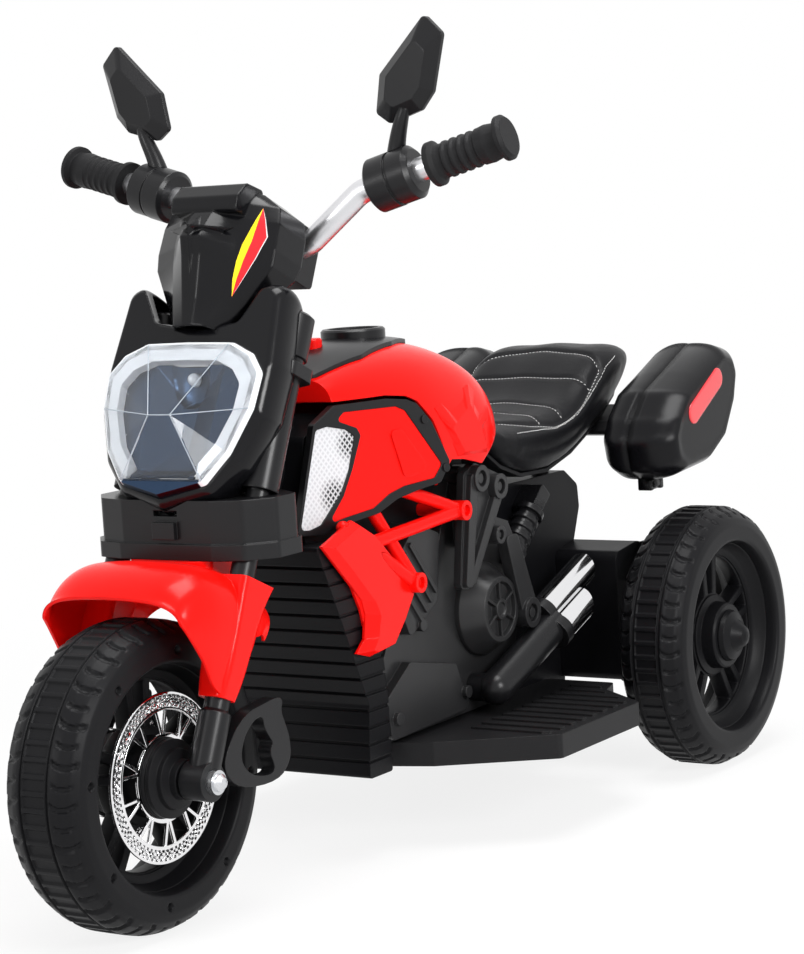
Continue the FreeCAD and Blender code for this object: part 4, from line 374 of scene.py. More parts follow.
def spoked_piece(name, centre, radii, pairs, gap, spoke, material, body):
    """Flat web in the wheel plane: pairs of spokes whose gap grows outward, with open cells between them.
    The radii are the inner edge, both ends of the open cells, and the outer edge."""
    inner, low, high, outer = radii
    ring = np.concatenate([np.linspace(inner, low, 3), np.linspace(low, high, 9)[1:],
                           np.linspace(high, outer, 3)[1:]])[:, None]
    pair = np.interp(ring, (low, high), gap) / 2 / ring
    bar = spoke / ring
    edges = [-pair - bar, -pair, pair, pair + bar, 2 * np.pi / pairs - pair - bar]
    cells = (3, 4, 3, 12)
    sector = np.concatenate([a + (b - a) * np.linspace(0, 1, n, endpoint=False)[None, :]
                             for a, b, n in zip(edges, edges[1:], cells)], axis=1)
    angle = np.concatenate([sector + 2 * np.pi * k / pairs for k in range(pairs)], axis=1)
    opening = np.tile(np.repeat((False, True, False, True), cells), pairs)[None, :]
    middle = np.append(0.5 * (ring[1:, 0] + ring[:-1, 0]), outer)[:, None]
    kept = ~(opening & (middle > low) & (middle < high))
    points = np.stack([centre[0] + ring * np.sin(angle), centre[1] + 0 * angle,
                       centre[2] + ring * np.cos(angle)], axis=-1)
    return grid_piece(name, points, material, body, False, True, kept)


half_base, half_track, axle_height = 0.366, 0.1745, 0.135
web_radii = (0.0400, 0.0440, 0.0820, 0.0860)
for name, centre, half, vent, hub, body, node in (
        ("front", (half_base, 0.0, axle_height), 0.0405, 0.004, 0.0355,
         "front_wheel_body", "front_wheel"),
        ("rear_left", (-half_base, half_track, axle_height), 0.037, 0.0, 0.0275,
         "rear_left_body", "rear_wheel_left"),
        ("rear_right", (-half_base, -half_track, axle_height), 0.037, 0.0, 0.0275,
         "rear_right_body", "rear_wheel_right")):
    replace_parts(tyre_piece(name + "_tyre", centre, half, vent, body), node)
    lip = half - 0.0125
    rim_side = np.array([(0.0966, lip), (0.0915, 0.0125), (0.0885, 0.0105), (0.0840, 0.0100)])
    hub_side = np.array([(0.0062, hub), (0.0320, hub), (0.0340, hub - 0.002), (0.0350, 0.0125),
                         (0.0420, 0.0105)])
    for ending, half_profile in (("_rim", rim_side), ("_hub", hub_side)):
        profile = np.concatenate([half_profile, half_profile[::-1] * (1, -1)])
        turned_piece(name + ending, profile, centre, wheel_black, body)
    web = spoked_piece(name + "_spokes", centre, web_radii, 5, (0.010, 0.016), 0.0085, wheel_black, body)
    thickened(web, 0.017, 0.0012)
dress(wheel_black, "front_hub_caps", "rear_hub_cap_left", "rear_hub_cap_right")

# Brake discs: thin plated covers over the front hub. A pierced outer ring is carried by forked
# spokes on a plain inner ring, and both sides of the wheel have one.
plated = metal("bright_plating", (0.82, 0.82, 0.83), 0.04, 0.08, (1, 1, 1))


def pierced_ring(name, centre, low, high, rows, columns, material, body):
    """Flat ring in the wheel plane, in rows and columns of cells. Every other cell of the inner rows is
    left open."""
    ring = np.linspace(low, high, rows + 1)[:, None]
    angle = np.linspace(0, 2 * np.pi, columns, endpoint=False)[None, :]
    points = np.stack([centre[0] + ring * np.sin(angle), centre[1] + 0 * ring * angle,
                       centre[2] + ring * np.cos(angle)], axis=-1)
    row = np.arange(rows + 1)[:, None]
    column = np.arange(columns)[None, :]
    kept = ((row + column) % 2 == 0) | (row < 1) | (row > rows - 2)
    return grid_piece(name, points, material, body, False, True, kept)


disc_reach, disc_radii = 0.0307, (0.0342, 0.0385, 0.0580, 0.0592)
for name, side in (("left", disc_reach), ("right", -disc_reach)):
    hub = (half_base, side, axle_height)
    plate = spoked_piece("disc_spokes_" + name, hub, disc_radii, 10, (0.0, 0.0105), 0.0030, plated,
                         "front_wheel_body")
    thickened(plate, 0.0024, 0.0004)
    pierced = pierced_ring("disc_ring_" + name, hub, 0.0588, 0.0734, 6, 140, plated, "front_wheel_body")
    thickened(pierced, 0.0022, 0.0002)
    if name == "left":
        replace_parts(plate, "brake_discs")

# Fork: moulded black legs in stepped tubes, clamped by the crown under the headlight and by a top
# bridge. The calipers are dummy open loops behind the legs, and all are a satin black plastic.
satin_black = moulded("satin_black_plastic", (0.006, 0.006, 0.007), 0.22, 900, 0.006, 0.00015, 0.26)
dress(satin_black, "fork_legs", "fork_crown", "top_bridge", "body_screws")


def corner_cut(points, rounds):
    """Closed outline with each corner cut back to a quarter of its sides, over and over."""
    for _ in range(rounds):
        ahead = np.roll(points, -1, axis=0)
        points = np.stack([0.75 * points + 0.25 * ahead, 0.25 * points + 0.75 * ahead], axis=1)
        points = points.reshape(-1, points.shape[-1])
    return points


def caliper_loop(name, side):
    """Dummy caliper: outer and inner outlines in the wheel plane, joined by the walls of a square
    section."""
    far, near = 0.0795 * side, 0.0655 * side
    outer = np.array([(0.3260, 0.1190), (0.3480, 0.1400), (0.3390, 0.1580), (0.3250, 0.1730),
                      (0.3060, 0.1830), (0.2914, 0.1847), (0.2640, 0.1880), (0.2560, 0.1835),
                      (0.2600, 0.1740), (0.2550, 0.1630), (0.2490, 0.1469), (0.2500, 0.1292),
                      (0.2700, 0.1140)])
    inner = np.array([(0.3105, 0.1290), (0.3225, 0.1435), (0.3165, 0.1610), (0.3060, 0.1705),
                      (0.2960, 0.1755), (0.2867, 0.1745), (0.2860, 0.1651), (0.2790, 0.1549),
                      (0.2740, 0.1490), (0.2805, 0.1418), (0.2740, 0.1290), (0.2765, 0.1230),
                      (0.2906, 0.1230)])
    outer, inner = corner_cut(outer, 2), corner_cut(inner, 2)
    rings = ((outer, far), (outer, near), (inner, near), (inner, far))
    points = np.stack([np.insert(ring, 1, reach, axis=1) for ring, reach in rings])
    loop = grid_piece(name, points, satin_black, "steering", True, True)
    rounding = loop.modifiers.new("rounding", "BEVEL")
    rounding.width = 0.0014
    rounding.segments = 2
    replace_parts(loop, "brake_calipers")


caliper_loop("caliper_left", 1)
caliper_loop("caliper_right", -1)

# Front fender: a red gloss arch, injected in self-coloured plastic and polished by its mould, whose
# sleeves slide over the fork legs.
red_gloss = moulded("red_gloss_plastic", (0.87, 0.005, 0.003), 0.13, 240, 0.0, 0.00005, 0.13, 0.04)
dress(red_gloss, "front_fender")

# Handlebar: a bent steel tube with a satin plated finish, clamped on top of the stem. Ribbed rubber
# grips are pushed on its ends, beside split switch housings that carry the mirrors.
satin_silver = metal("satin_silver_tube", (0.74, 0.74, 0.76), 0.26, 0.12, (1, 0.1, 1))
grip_rubber = moulded("grip_rubber", (0.007, 0.007, 0.008), 0.46, 1900, 0.014, 0.0004, 0.16)
mirror_face = metal("mirror_face", (0.80, 0.82, 0.85), 0.02, 0.03, (1, 1, 1))
dress(satin_silver, "handlebar")
dress(satin_black, "handlebar_clamp", "switch_housings", "mirrors")
dress(grip_rubber, "grips")
dress(mirror_face, "mirror_glass")

# Headlight: a frosted white light guide round a dark faceted insert with a lamp bowl at its top, all
# behind a clear moulded cover whose facet edges carry thin beads of painted highlight. It is clipped into a
# gloss surround.
def clear_plastic(name, colour, rough):
    """Material of a clear moulding with a faintly uneven surface."""
    made, tree, shader = fresh_material(name)
    waves = textured(tree, "ShaderNodeTexNoise", {"Scale": 40})
    raised(tree, shader, waves.outputs["Fac"], 0.02, 0.0005)
    set_sockets(tree, shader, {"Base Color": (*colour, 1), "Roughness": rough,
                               "Transmission Weight": 1.0, "IOR": 1.45})
    return made


def raked(ahead, left, up):
    """Points of the steered assembly: ahead of, left of and along its leaning axis, in metres."""
    lean, foot = math.radians(25), 0.341
    return np.stack([foot + ahead * math.cos(lean) - up * math.sin(lean), left + 0 * ahead,
                     axle_height + ahead * math.sin(lean) + up * math.cos(lean)], axis=-1)


def lamp_insert(name, material):
    """Insert over its outline: each point sinks with its distance from the nearest side, like a hipped
    roof turned inward, a bowl sinks further at the top, and the foot comes forward to the cover."""
    face = 0.0625
    bowl_wide, bowl_tall, bowl_up = 0.020, 0.030, 0.341
    edge = np.array([(0.0348, 0.2412), (0.0351, 0.2518), (0.0515, 0.2724), (0.0632, 0.3026),
                     (0.0647, 0.3269), (0.0540, 0.3402), (0.0354, 0.3476)])
    outline = np.concatenate([edge, edge[::-1] * (-1, 1)])
    height = np.linspace(edge[0, 1], edge[-1, 1], 97)[:, None]
    across = np.interp(height, edge[:, 1], edge[:, 0]) * np.linspace(-1, 1, 121)[None, :]
    run = np.roll(outline, -1, axis=0) - outline
    run /= np.linalg.norm(run, axis=1, keepdims=True)
    away = np.stack([across, height + 0 * across], axis=-1)[:, :, None, :] - outline
    inward = (run[:, 0] * away[..., 1] - run[:, 1] * away[..., 0]).min(axis=-1)
    bowl = np.maximum(0, 1 - (across / bowl_wide) ** 2 - ((height - bowl_up) / bowl_tall) ** 2)
    sink = np.minimum(0.42 * np.maximum(inward, 0), 0.012) + 0.008 * np.sqrt(bowl)
    sink -= 0.0085 * smooth_step(0.2530, 0.2412, height)
    points = raked(face - sink, across, height + 0 * across)
    return grid_piece(name, points, material, "steering", sharp=20)


def tubes_piece(name, points, material, body, sharp):
    """Piece of many short tubes, from points by tube, ring and side: quads between rings, and end caps."""
    index = np.arange(points.size // 3).reshape(points.shape[:-1])
    here, ahead = index[:, :-1], index[:, 1:]
    quads = np.stack([here, ahead, np.roll(ahead, -1, axis=2), np.roll(here, -1, axis=2)], axis=-1)
    caps = np.concatenate([index[:, 0, ::-1], index[:, -1]])
    mesh = bpy.data.meshes.new(name)
    mesh.from_pydata(points.reshape(-1, 3).tolist(), [], quads.reshape(-1, 4).tolist() + caps.tolist())
    return finished(mesh, name, material, body, sharp)


def bead_piece(name, starts, ends, thick, material, body):
    """Straight round beads: a ring of points carried from each start to its end."""
    way = ends - starts
    way /= np.linalg.norm(way, axis=1, keepdims=True)
    side = np.cross(way, (0.31, 0.77, 0.56))
    side /= np.linalg.norm(side, axis=1, keepdims=True)
    upper = np.cross(way, side)
    angle = np.linspace(0, 2 * np.pi, 8, endpoint=False)[:, None]
    ring = thick * (np.cos(angle) * side[:, None, :] + np.sin(angle) * upper[:, None, :])
    points = np.stack([starts[:, None, :] + ring, ends[:, None, :] + ring], axis=1)
    return tubes_piece(name, points, material, body, 50)


def lamp_bulb(name, material):
    """Bulb turned about a line ahead of the bowl: a dome on a short neck."""
    share = np.linspace(0, 1, 15)
    reach = np.concatenate([[0, 0.004], 0.004 + 0.009 * np.sin(0.5 * np.pi * share)])
    wide = np.concatenate([[0.0052, 0.0052], 0.0062 * np.cos(0.5 * np.pi * share)])
    angle = np.linspace(0, 2 * np.pi, 24, endpoint=False)[:, None]
    points = raked(0.047 + reach + 0 * angle, wide * np.cos(angle), 0.337 + wide * np.sin(angle))
    return grid_piece(name, points, material, "steering", True, False, sharp=40)


frosted_white = moulded("frosted_white_guide", (0.90, 0.92, 0.95), 0.12, 500, 0.0, 0.00005, 0.4)
clear_lens = clear_plastic("clear_lens_plastic", (0.96, 0.98, 1.0), 0.0)
insert_film = metal("dark_insert_film", (0.032, 0.055, 0.10), 0.22, 0.2, (1, 1, 1))
# Pale bead colour: painted highlight where the cover's facet edges catch the light.
painted_edge_glint = moulded("painted_cover_edge_glints", (0.50, 0.56, 0.63), 0.2, 700, 0.0, 0.00005, 0.3)
bulb_glass = moulded("bulb_glass", (0.75, 0.79, 0.84), 0.06, 300, 0.0, 0.00002, 0.5, 1.0)
dress(frosted_white, "headlight_ring")
dress(clear_lens, "headlight_lens")
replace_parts(lamp_insert("headlight_insert", insert_film), "headlight_reflector")
lamp_bulb("headlight_bulb", bulb_glass)
rim_ahead, rim_left, rim_up = 0.0722, np.array([0.0444, 0.0791, 0.0444]), np.array([0.3640, 0.3046, 0.2385])
peak_ahead, peak_left, peak_up = 0.0921, 0.012, 0.292
starts = raked(np.repeat((rim_ahead, peak_ahead), (6, 1)), np.concatenate([rim_left, -rim_left, [peak_left]]),
               np.concatenate([rim_up, rim_up, [peak_up]]))
ends = raked(np.full(7, peak_ahead), np.repeat((peak_left, -peak_left), (3, 4)), np.full(7, peak_up))
# Thin pale beads along the cover's facet edges: painted highlight, not a part of the lamp.
bead_piece("headlight_cover_edge_glints", starts, ends, 0.00042, painted_edge_glint, "steering")


def lamp_chin(name, material):
    """Dark plate that closes the lamp below its cover: rows from behind the cover, down over the ring's
    point."""
    half, tip, rise = 0.0419, 0.2262, 0.0107
    across = np.linspace(-half, half, 85)
    point = tip + rise * np.abs(across) / half
    rows = ((0.0660, 0.2410), (0.0718, 0.2402), (0.0718, 0.2383), (0.0728, 0.2378), (0.0728, point),
            (0.0668, point - 0.0024))
    points = np.stack([raked(ahead + 0 * across, across, up + 0 * across) for ahead, up in rows])
    return grid_piece(name, points, material, "steering", sharp=30)


thickened(lamp_chin("headlight_chin", insert_film), 0.0006, 0.0002)

# Headlight surround and dash cowl: high-gloss black mouldings clipped together in front of the bars,
# with a plain plate behind them. The cowl's shoulder carries a two-colour flash, printed on film.
black_gloss = moulded("black_gloss_plastic", (0.004, 0.004, 0.005), 0.07, 300, 0.002, 0.00005, 0.21,
                      ease=0.003)
dress(black_gloss, "headlight_shroud", "dash_cowl")


def as_mesh(made):
    """Mesh of an object with its modifiers done."""
    graph = bpy.context.evaluated_depsgraph_get()
    return bpy.data.meshes.new_from_object(made.evaluated_get(graph))


def vertices_of(mesh):
    """Points of a mesh as rows of X, Y and Z."""
    flat = np.empty(3 * len(mesh.vertices))
    mesh.vertices.foreach_get("co", flat)
    return flat.reshape(-1, 3)


def laid_on(points, node, lift):
    """Points moved to the nearest places on a node and raised off them by a lift."""
    draft = bpy.data.meshes.new("laid_draft")
    draft.from_pydata(points.reshape(-1, 3).tolist(), [], [])
    carrier = bpy.data.objects.new("laid_draft", draft)
    scene.collection.objects.link(carrier)
    press = carrier.modifiers.new("laid_on", "SHRINKWRAP")
    press.target = nodes[node]
    press.wrap_method = "NEAREST_SURFACEPOINT"
    press.wrap_mode = "ABOVE_SURFACE"
    press.offset = lift
    pressed = vertices_of(as_mesh(carrier)).reshape(points.shape)
    bpy.data.objects.remove(carrier)
    return pressed


def flash_strip(name, low, high, material, lift):
    """Strip of the flash: points ruled between its two long edges, between two shares of the way across."""
    left = np.array([(0.1925, 0.0474, 0.6095), (0.2042, 0.0437, 0.5960), (0.2153, 0.0384, 0.5791),
                     (0.2213, 0.0353, 0.5654), (0.2268, 0.0339, 0.5500), (0.2299, 0.0340, 0.5345)])
    right = np.array([(0.1925, 0.0474, 0.6095), (0.1971, 0.0528, 0.5991), (0.2019, 0.0572, 0.5844),
                      (0.2125, 0.0507, 0.5667), (0.2212, 0.0424, 0.5504), (0.2299, 0.0340, 0.5345)])
    share = np.linspace(0, 1, 41)
    edges = [np.stack([np.interp(share, np.linspace(0, 1, 6), line[:, k]) for k in range(3)], axis=-1)
             for line in (left, right)]
    across = np.linspace(low, high, 9)[None, :, None]
    points = edges[0][:, None] * (1 - across) + edges[1][:, None] * across
    return grid_piece(name, laid_on(points, "dash_cowl", lift), material, "steering", sharp=60)


flash_yellow = moulded("yellow_flash_film", (0.93, 0.72, 0.01), 0.10, 400, 0.0, 0.00002, 0.3, 0.3)
flash_red = moulded("red_flash_film", (0.84, 0.012, 0.02), 0.10, 400, 0.0, 0.00002, 0.3, 0.3)
flash_pale = moulded("pale_flash_edge", (0.70, 0.70, 0.70), 0.12, 400, 0.0, 0.00002, 0.3)
flash_strip("cowl_flash_yellow", 0.0, 0.36, flash_yellow, 0.0003)
flash_strip("cowl_flash_red", 0.36, 0.95, flash_red, 0.0003)
flash_strip("cowl_flash_edge", 0.95, 1.0, flash_pale, 0.00035)

backing_left, backing_up = np.meshgrid(np.linspace(-0.046, 0.046, 25), np.linspace(0.372, 0.421, 13))
backing = grid_piece("cowl_backing", raked(0.044 - 2.4 * backing_left ** 2, backing_left, backing_up),
                     black_gloss, "steering")
thickened(backing, 0.002, 0.0006)

# Tank: a crowned red cover over the battery room with a black top panel let into it. The panel holds
# a dummy filler cap and the round power button, and each rear flank is moulded with a raised facet.
dress(red_gloss, "tank_cover", "power_button")
dress(satin_black, "tank_console", "filler_cap")


def closed_outline(corners):
    """Points along a closed outline, evenly spaced on each straight side between its corners."""
    share = np.linspace(0, 1, 12, endpoint=False)[None, :, None]
    ahead = np.roll(corners, -1, axis=0)
    return (corners[:, None] * (1 - share) + ahead[:, None] * share).reshape(-1, 3)


def tank_facet(name, side):
    """Raised facet: slopes ruled from a five-cornered rim on the tank to a smaller flat face standing
    off it."""
    rim = np.array([(0.0084, 0.0949, 0.4131), (-0.0605, 0.0898, 0.4290), (-0.0850, 0.0957, 0.3990),
                    (-0.0740, 0.0982, 0.3620), (-0.0236, 0.0980, 0.3640)])
    face = np.array([(-0.0110, 0.1026, 0.3925), (-0.0465, 0.1014, 0.4110), (-0.0600, 0.1027, 0.3900),
                     (-0.0680, 0.1042, 0.3665), (-0.0280, 0.1042, 0.3675)])
    rim, face = (closed_outline(corners * (1, side, 1)) for corners in (rim, face))
    rim = laid_on(rim, "tank_cover", 0)
    out = np.array((0, 0.0006 * side, 0))
    middle = face.mean(axis=0)
    points = np.stack([rim - out, rim + out, face, (face + middle) / 2, middle + 0 * face])
    return grid_piece(name, points, red_gloss, "frame", False, True, sharp=9)


tank_facet("tank_facet_left", 1)
tank_facet("tank_facet_right", -1)

# Side pieces: a black strip with a red panel and a lamp let into it, pegged to the shell. The lamp is
# a clear moulding over bright film, pressed inside with small diamond prisms. Its colour holds painted
# shade on the prism faces and, at two places, a painted dark reflection of the shell behind.
def prism_lamp(name):
    """Material of a pressed lamp face: crossed waves give diamonds whose faces hold painted shade, and
    two places carry a painted dark reflection of the shell behind.
    """
    lean, prisms = 0.72, 74
    # Places where the prisms carry a painted dark reflection of the shell behind.
    painted_reflection_spots = ((0.112, 0, 0.392), (0.134, 0, 0.346))
    bright, prism_face_painted_shade, painted_shell_reflection = (0.74, 0.74, 0.76, 1), (0.50, 0.50, 0.53, 1), (0.012, 0.012, 0.014, 1)
    made, tree, shader = fresh_material(name)
    flat = textured(tree, "ShaderNodeMapping", {"Scale": (1, 0, 1)}).outputs["Vector"]
    rows = []
    for way in (lean, -lean):
        turned = tree.nodes.new("ShaderNodeMapping")
        set_sockets(tree, turned, {"Vector": flat, "Rotation": (0, way, 0)})
        wave = tree.nodes.new("ShaderNodeTexWave")
        wave.wave_profile = "TRI"
        wave.bands_direction = "X"
        set_sockets(tree, wave, {"Vector": turned.outputs["Vector"], "Scale": prisms})
        rows.append(wave.outputs["Fac"])
    ridge = worked_out(tree, "MINIMUM", *rows)
    gaps = []
    for spot in painted_reflection_spots:
        away = tree.nodes.new("ShaderNodeVectorMath")
        away.operation = "DISTANCE"
        feed(tree, away.inputs[0], flat)
        feed(tree, away.inputs[1], spot)
        gaps.append(away.outputs["Value"])
    patch = tree.nodes.new("ShaderNodeMapRange")
    set_sockets(tree, patch, {"Value": worked_out(tree, "MINIMUM", *gaps), "From Min": 0.007,
                              "From Max": 0.019, "To Min": 1.7, "To Max": 0.0})
    dark = worked_out(tree, "MULTIPLY", patch.outputs["Result"], ridge)
    dark.node.use_clamp = True
    # Painted shade on the prism faces, and a painted dark reflection of the shell at the two spots.
    tone = colour_mix(tree, dark, colour_mix(tree, ridge, bright, prism_face_painted_shade), painted_shell_reflection)
    raised(tree, shader, ridge, 0.3, 0.0006)
    set_sockets(tree, shader, {"Base Color": tone, "Metallic": 0.15, "Roughness": 0.2,
                               "Specular IOR Level": 0.3})
    return made


dress(satin_black, "side_trims")
dress(red_gloss, "side_panels")
dress(prism_lamp("prism_lamp_face"), "side_lamps")

# Dummy engine: black covers, a ribbed clutch cone and a swing link, screwed to the shell. Red trellis
# tubes and cheeks frame them, and a black pipe ends in two slash-cut tips with bright plating.
# The engine covers, clutch cone and link take a lighter copy of the black plastic: painted light that lifts
# them out of their shade, with a little dust.
engine_black_painted_light = moulded("engine_black_dust_and_painted_light", (0.014, 0.014, 0.015), 0.24, 900, 0.01, 0.00015, 0.34)
dress(engine_black_painted_light, "engine_covers", "clutch_covers", "link_arms")
dress(red_gloss, "trellis_frames", "lower_fairings")
dress(satin_black, "exhaust_pipes")
dress(plated, "exhaust_tips")

# Seat: foam under black vinyl. A dropped rider's place and a raised pillion pad are sewn with white
# thread along a sunk channel, with three cross seams and an outer row along the side seam.
def vinyl(name):
    """Material of grained black vinyl: small pebbles with soft creases between them."""
    made, tree, shader = fresh_material(name)
    pebbles = textured(tree, "ShaderNodeTexVoronoi", {"Scale": 900}).outputs["Distance"]
    creases = textured(tree, "ShaderNodeTexNoise", {"Scale": 60, "Detail": 5}).outputs["Fac"]
    raised(tree, shader, worked_out(tree, "MULTIPLY_ADD", pebbles, 0.8, creases), 0.4, 0.0005)
    sheen = tree.nodes.new("ShaderNodeMapRange")
    set_sockets(tree, sheen, {"Value": creases, "To Min": 0.30, "To Max": 0.46})
    tone = colour_mix(tree, creases, (0.003, 0.003, 0.004, 1), (0.007, 0.007, 0.008, 1))
    set_sockets(tree, shader, {"Base Color": tone, "Roughness": sheen.outputs["Result"],
                               "Specular IOR Level": 0.14})
    return made


def normals_of(mesh):
    """Outward directions at the points of a mesh."""
    flat = np.empty(3 * len(mesh.vertices))
    mesh.vertex_normals.foreach_get("vector", flat)
    return flat.reshape(-1, 3)


def stuffed(made, most):
    """Swells a closed pad by cloth pressure with its foot held, and stops each point at a most."""
    last_step, pressure, foot_facing = 20, 4, -0.45
    before = vertices_of(made.data)
    held = made.vertex_groups.new(name="foot")
    foot = np.flatnonzero(normals_of(made.data)[:, 2] < foot_facing)
    held.add(foot.tolist(), 1.0, "REPLACE")
    cloth = made.modifiers.new("stuffing", "CLOTH")
    cloth.settings.use_pressure = True
    cloth.settings.uniform_pressure_force = pressure
    cloth.settings.effector_weights.gravity = 0
    cloth.settings.vertex_group_mass = held.name
    cloth.point_cache.frame_start = 1
    cloth.point_cache.frame_end = last_step
    for step in range(1, last_step + 1):
        scene.frame_set(step)
    after = vertices_of(as_mesh(made))
    scene.frame_set(1)
    made.modifiers.remove(cloth)
    move = after - before
    size = np.linalg.norm(move, axis=1, keepdims=True)
    move *= np.minimum(1, most / np.maximum(size, 1e-9))
    made.data.vertices.foreach_set("co", (before + move).ravel())
    made.data.update()


def to_line(points, line):
    """Shortest distance in plan from each point to a row of straight runs."""
    start, end = line[:-1], line[1:]
    run = end - start
    away = points[:, None, :] - start[None]
    share = np.clip((away * run).sum(-1) / (run * run).sum(-1), 0, 1)
    return np.linalg.norm(away - share[..., None] * run, axis=-1).min(axis=1)


def seam_rows():
    """Plan lines of the sewn channels: a loop around the rider's pad and three cross seams."""
    loop = np.array([(-0.167, 0.056), (-0.206, 0.071), (-0.243, 0.0785), (-0.300, 0.0795), (-0.344, 0.0765),
                     (-0.354, 0.061), (-0.360, 0.040), (-0.364, 0.0)])
    loop = np.concatenate([loop, loop[-2::-1] * (1, -1)])
    across = np.linspace(-1, 1, 25)
    rows = [loop]
    for middle, bow, half in ((-0.320, 0.0, 0.078), (-0.276, 0.014, 0.077), (-0.240, 0.018, 0.074)):
        rows.append(np.stack([middle + bow * across ** 2, half * across], axis=1))
    return rows


def even_points(line, pitch):
    """Points spaced evenly along a row of straight runs."""
    length = np.concatenate([[0], np.cumsum(np.linalg.norm(np.diff(line, axis=0), axis=1))])
    steps = np.arange(0.5 * pitch, length[-1], pitch)
    return np.stack([np.interp(steps, length, line[:, k]) for k in range(line.shape[1])], axis=1)


def stitch_piece(name, middles, along, out, material, body):
    """Row of short threads: each is a bowed tube that leaves the cloth, rises over it and goes back in."""
    half, crest, dive, thread = 0.0016, 0.00042, 0.0009, 0.00040
    run = np.linspace(-1, 1, 7)[:, None]
    angle = np.linspace(0, 2 * np.pi, 6, endpoint=False)[:, None]
    side = np.cross(along, out)
    spine = middles[:, None] + half * run * along[:, None] + (crest - dive * run ** 4) * out[:, None]
    ring = np.cos(angle) * side[:, None] + np.sin(angle) * out[:, None]
    thick = thread * np.sqrt(1.02 - run ** 2)[:, None]
    points = spine[:, :, None] + thick * ring[:, None]
    return tubes_piece(name, points, material, body, 60)


def seat_pad():
    """Closed vinyl pad: CAD seat drawn in, remeshed, stuffed, and sunk along its sewn channels."""
    draft = nodes["seat_cushion"].data.copy()
    work = bmesh.new()
    work.from_mesh(draft)
    bmesh.ops.remove_doubles(work, verts=work.verts, dist=1e-5)
    work.to_mesh(draft)
    work.free()
    carrier = bpy.data.objects.new("seat_draft", draft)
    scene.collection.objects.link(carrier)
    even = carrier.modifiers.new("even_cells", "REMESH")
    even.mode = "VOXEL"
    even.voxel_size = 0.0042
    relax = carrier.modifiers.new("relaxed", "SMOOTH")
    relax.factor = 0.5
    relax.iterations = 4
    pad_mesh = as_mesh(carrier)
    bpy.data.objects.remove(carrier)
    pad = bpy.data.objects.new("seat_pad", pad_mesh)
    scene.collection.objects.link(pad)
    drawn_in = vertices_of(pad_mesh) - 0.0010 * normals_of(pad_mesh)
    pad_mesh.vertices.foreach_set("co", drawn_in.ravel())
    pad_mesh.update()
    stuffed(pad, 0.0030)
    finer = pad.modifiers.new("finer", "SUBSURF")
    finer.levels = finer.render_levels = 1
    fine_mesh = as_mesh(pad)
    pad.modifiers.clear()
    pad.vertex_groups.clear()
    pad.data = fine_mesh
    spots = vertices_of(fine_mesh)
    facing = normals_of(fine_mesh)
    upper = smooth_step(0.25, 0.6, facing[:, 2])
    sunk = np.zeros(len(spots))
    depths, reaches = (0.0026, 0.0016, 0.0016, 0.0016), (0.0052, 0.0042, 0.0042, 0.0042)
    for line, depth, reach in zip(seam_rows(), depths, reaches):
        sunk = np.maximum(sunk, depth * np.exp(-(to_line(spots[:, :2], line) / reach) ** 2 * 2.2))
    fine_mesh.vertices.foreach_set("co", (spots - (sunk * upper)[:, None] * facing).ravel())
    fine_mesh.update()
    fine_mesh.shade_smooth()
    return pad


seat = seat_pad()
seat.data.materials.clear()
seat.data.materials.append(vinyl("black_seat_vinyl"))
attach(seat, "frame")
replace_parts(seat, "seat_cushion")

white_thread, tree, shader = fresh_material("white_thread")
twist = textured(tree, "ShaderNodeTexWave", {"Scale": 900})
thread_tone = colour_mix(tree, twist.outputs["Fac"], (0.50, 0.50, 0.50, 1), (0.82, 0.82, 0.81, 1))
set_sockets(tree, shader, {"Base Color": thread_tone, "Roughness": 0.7})
seat_faces = [face.vertices for face in seat.data.polygons]
seat_surface = BVHTree.FromPolygons(vertices_of(seat.data).tolist(), seat_faces)


def sewn(name, line, from_above):
    """Threads along a line: each middle drops on the seat, from above for a plan line or else at the
    nearest place, and the thread's way turns to lie along the seat there."""
    stitch_pitch, start_height = 0.0040, 0.6
    middles = even_points(line, stitch_pitch)
    along = np.gradient(middles, axis=0)
    if from_above:
        along = np.insert(along, 2, 0, axis=1)
        landed = [seat_surface.ray_cast((*spot, start_height), (0, 0, -1)) for spot in middles]
    else:
        landed = [seat_surface.find_nearest(spot) for spot in middles]
    places = np.array([tuple(hit[0]) for hit in landed])
    out = np.array([tuple(hit[1]) for hit in landed])
    along -= (along * out).sum(axis=1, keepdims=True) * out
    along /= np.linalg.norm(along, axis=1, keepdims=True)
    return stitch_piece(name, places, along, out, white_thread, "frame")


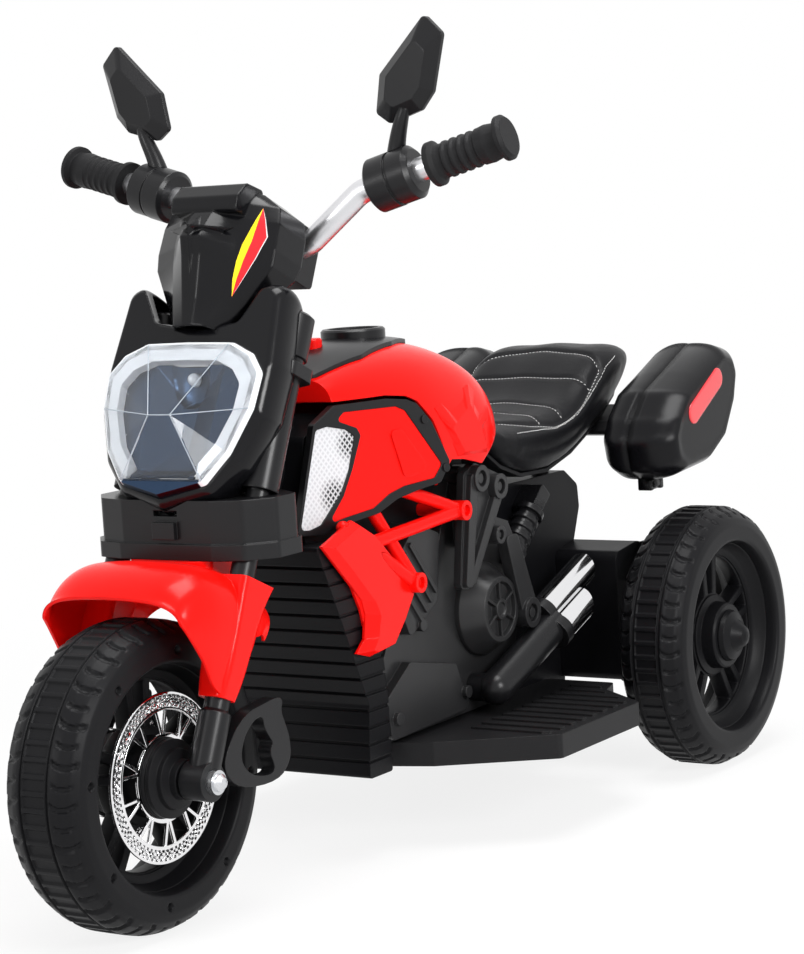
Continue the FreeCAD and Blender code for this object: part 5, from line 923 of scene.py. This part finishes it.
for name, line in zip(("loop", "rear", "middle", "front"), seam_rows()):
    sewn("seat_thread_" + name, line, True)
edge_line = np.array([(-0.170, 0.0815, 0.3735), (-0.200, 0.0832, 0.3722), (-0.235, 0.0840, 0.3722),
                      (-0.285, 0.0850, 0.382), (-0.318, 0.0850, 0.400), (-0.352, 0.0840, 0.4215),
                      (-0.378, 0.0818, 0.431)])
sewn("seat_thread_left", edge_line, False)
sewn("seat_thread_right", edge_line * (1, -1, 1), False)

# Rear shocks: moulded dummies below the seat. A sleeve with ring ridges sits on a smooth rod between
# two end caps.
dress(satin_black, "shock_springs", "shock_dampers")

# Side cases: blow-moulded gloss black shells on the carrier, with domed lids hinged at the bottom. A
# plain red badge plate, rounded at both ends, is bonded to each lid.
case_black = moulded("black_case_plastic", (0.004, 0.004, 0.005), 0.14, 500, 0.003, 0.00008, 0.16, ease=0.011)
dress(case_black, "bag_shells", "bag_lid_left", "bag_lid_right")


def badge_plate(name, side, body):
    """Pad on the lid's flat: a long rounded outline drawn in over its rounded edge, closed at the
    middle."""
    lid_flat = 0.1858
    low, high = np.array((-0.3425, 0.3705)), np.array((-0.3985, 0.4005))
    span = high - low
    along = span / np.linalg.norm(span)
    over = np.array((-along[1], along[0]))
    angle = np.linspace(-0.5 * np.pi, 1.5 * np.pi, 96, endpoint=False)
    middle = np.where(angle[:, None] < 0.5 * np.pi, high, low)
    out = np.cos(angle)[:, None] * along + np.sin(angle)[:, None] * over
    wide = np.array((0.0112, 0.0112, 0.0108, 0.0100, 0.0085, 0.0))
    rise = np.array((0.0, 0.0008, 0.00125, 0.0015, 0.00155, 0.0016))
    flat = middle[None] + wide[:, None, None] * out[None]
    share = np.clip((flat[-2] - low) @ span / (span @ span), 0, 1)
    flat[-1] = low + share[:, None] * span
    stand = side * (lid_flat + rise[:, None] + 0 * flat[..., 0])
    points = np.stack([flat[..., 0], stand, flat[..., 1]], axis=-1)
    return grid_piece(name, points, red_film, body, False, True, sharp=50)


red_film = moulded("red_badge_film", (0.72, 0.02, 0.03), 0.12, 400, 0.0, 0.00003, 0.5, 0.6)
badge_plate("badge_left", 1, "lid_left_body")
badge_plate("badge_right", -1, "lid_right_body")
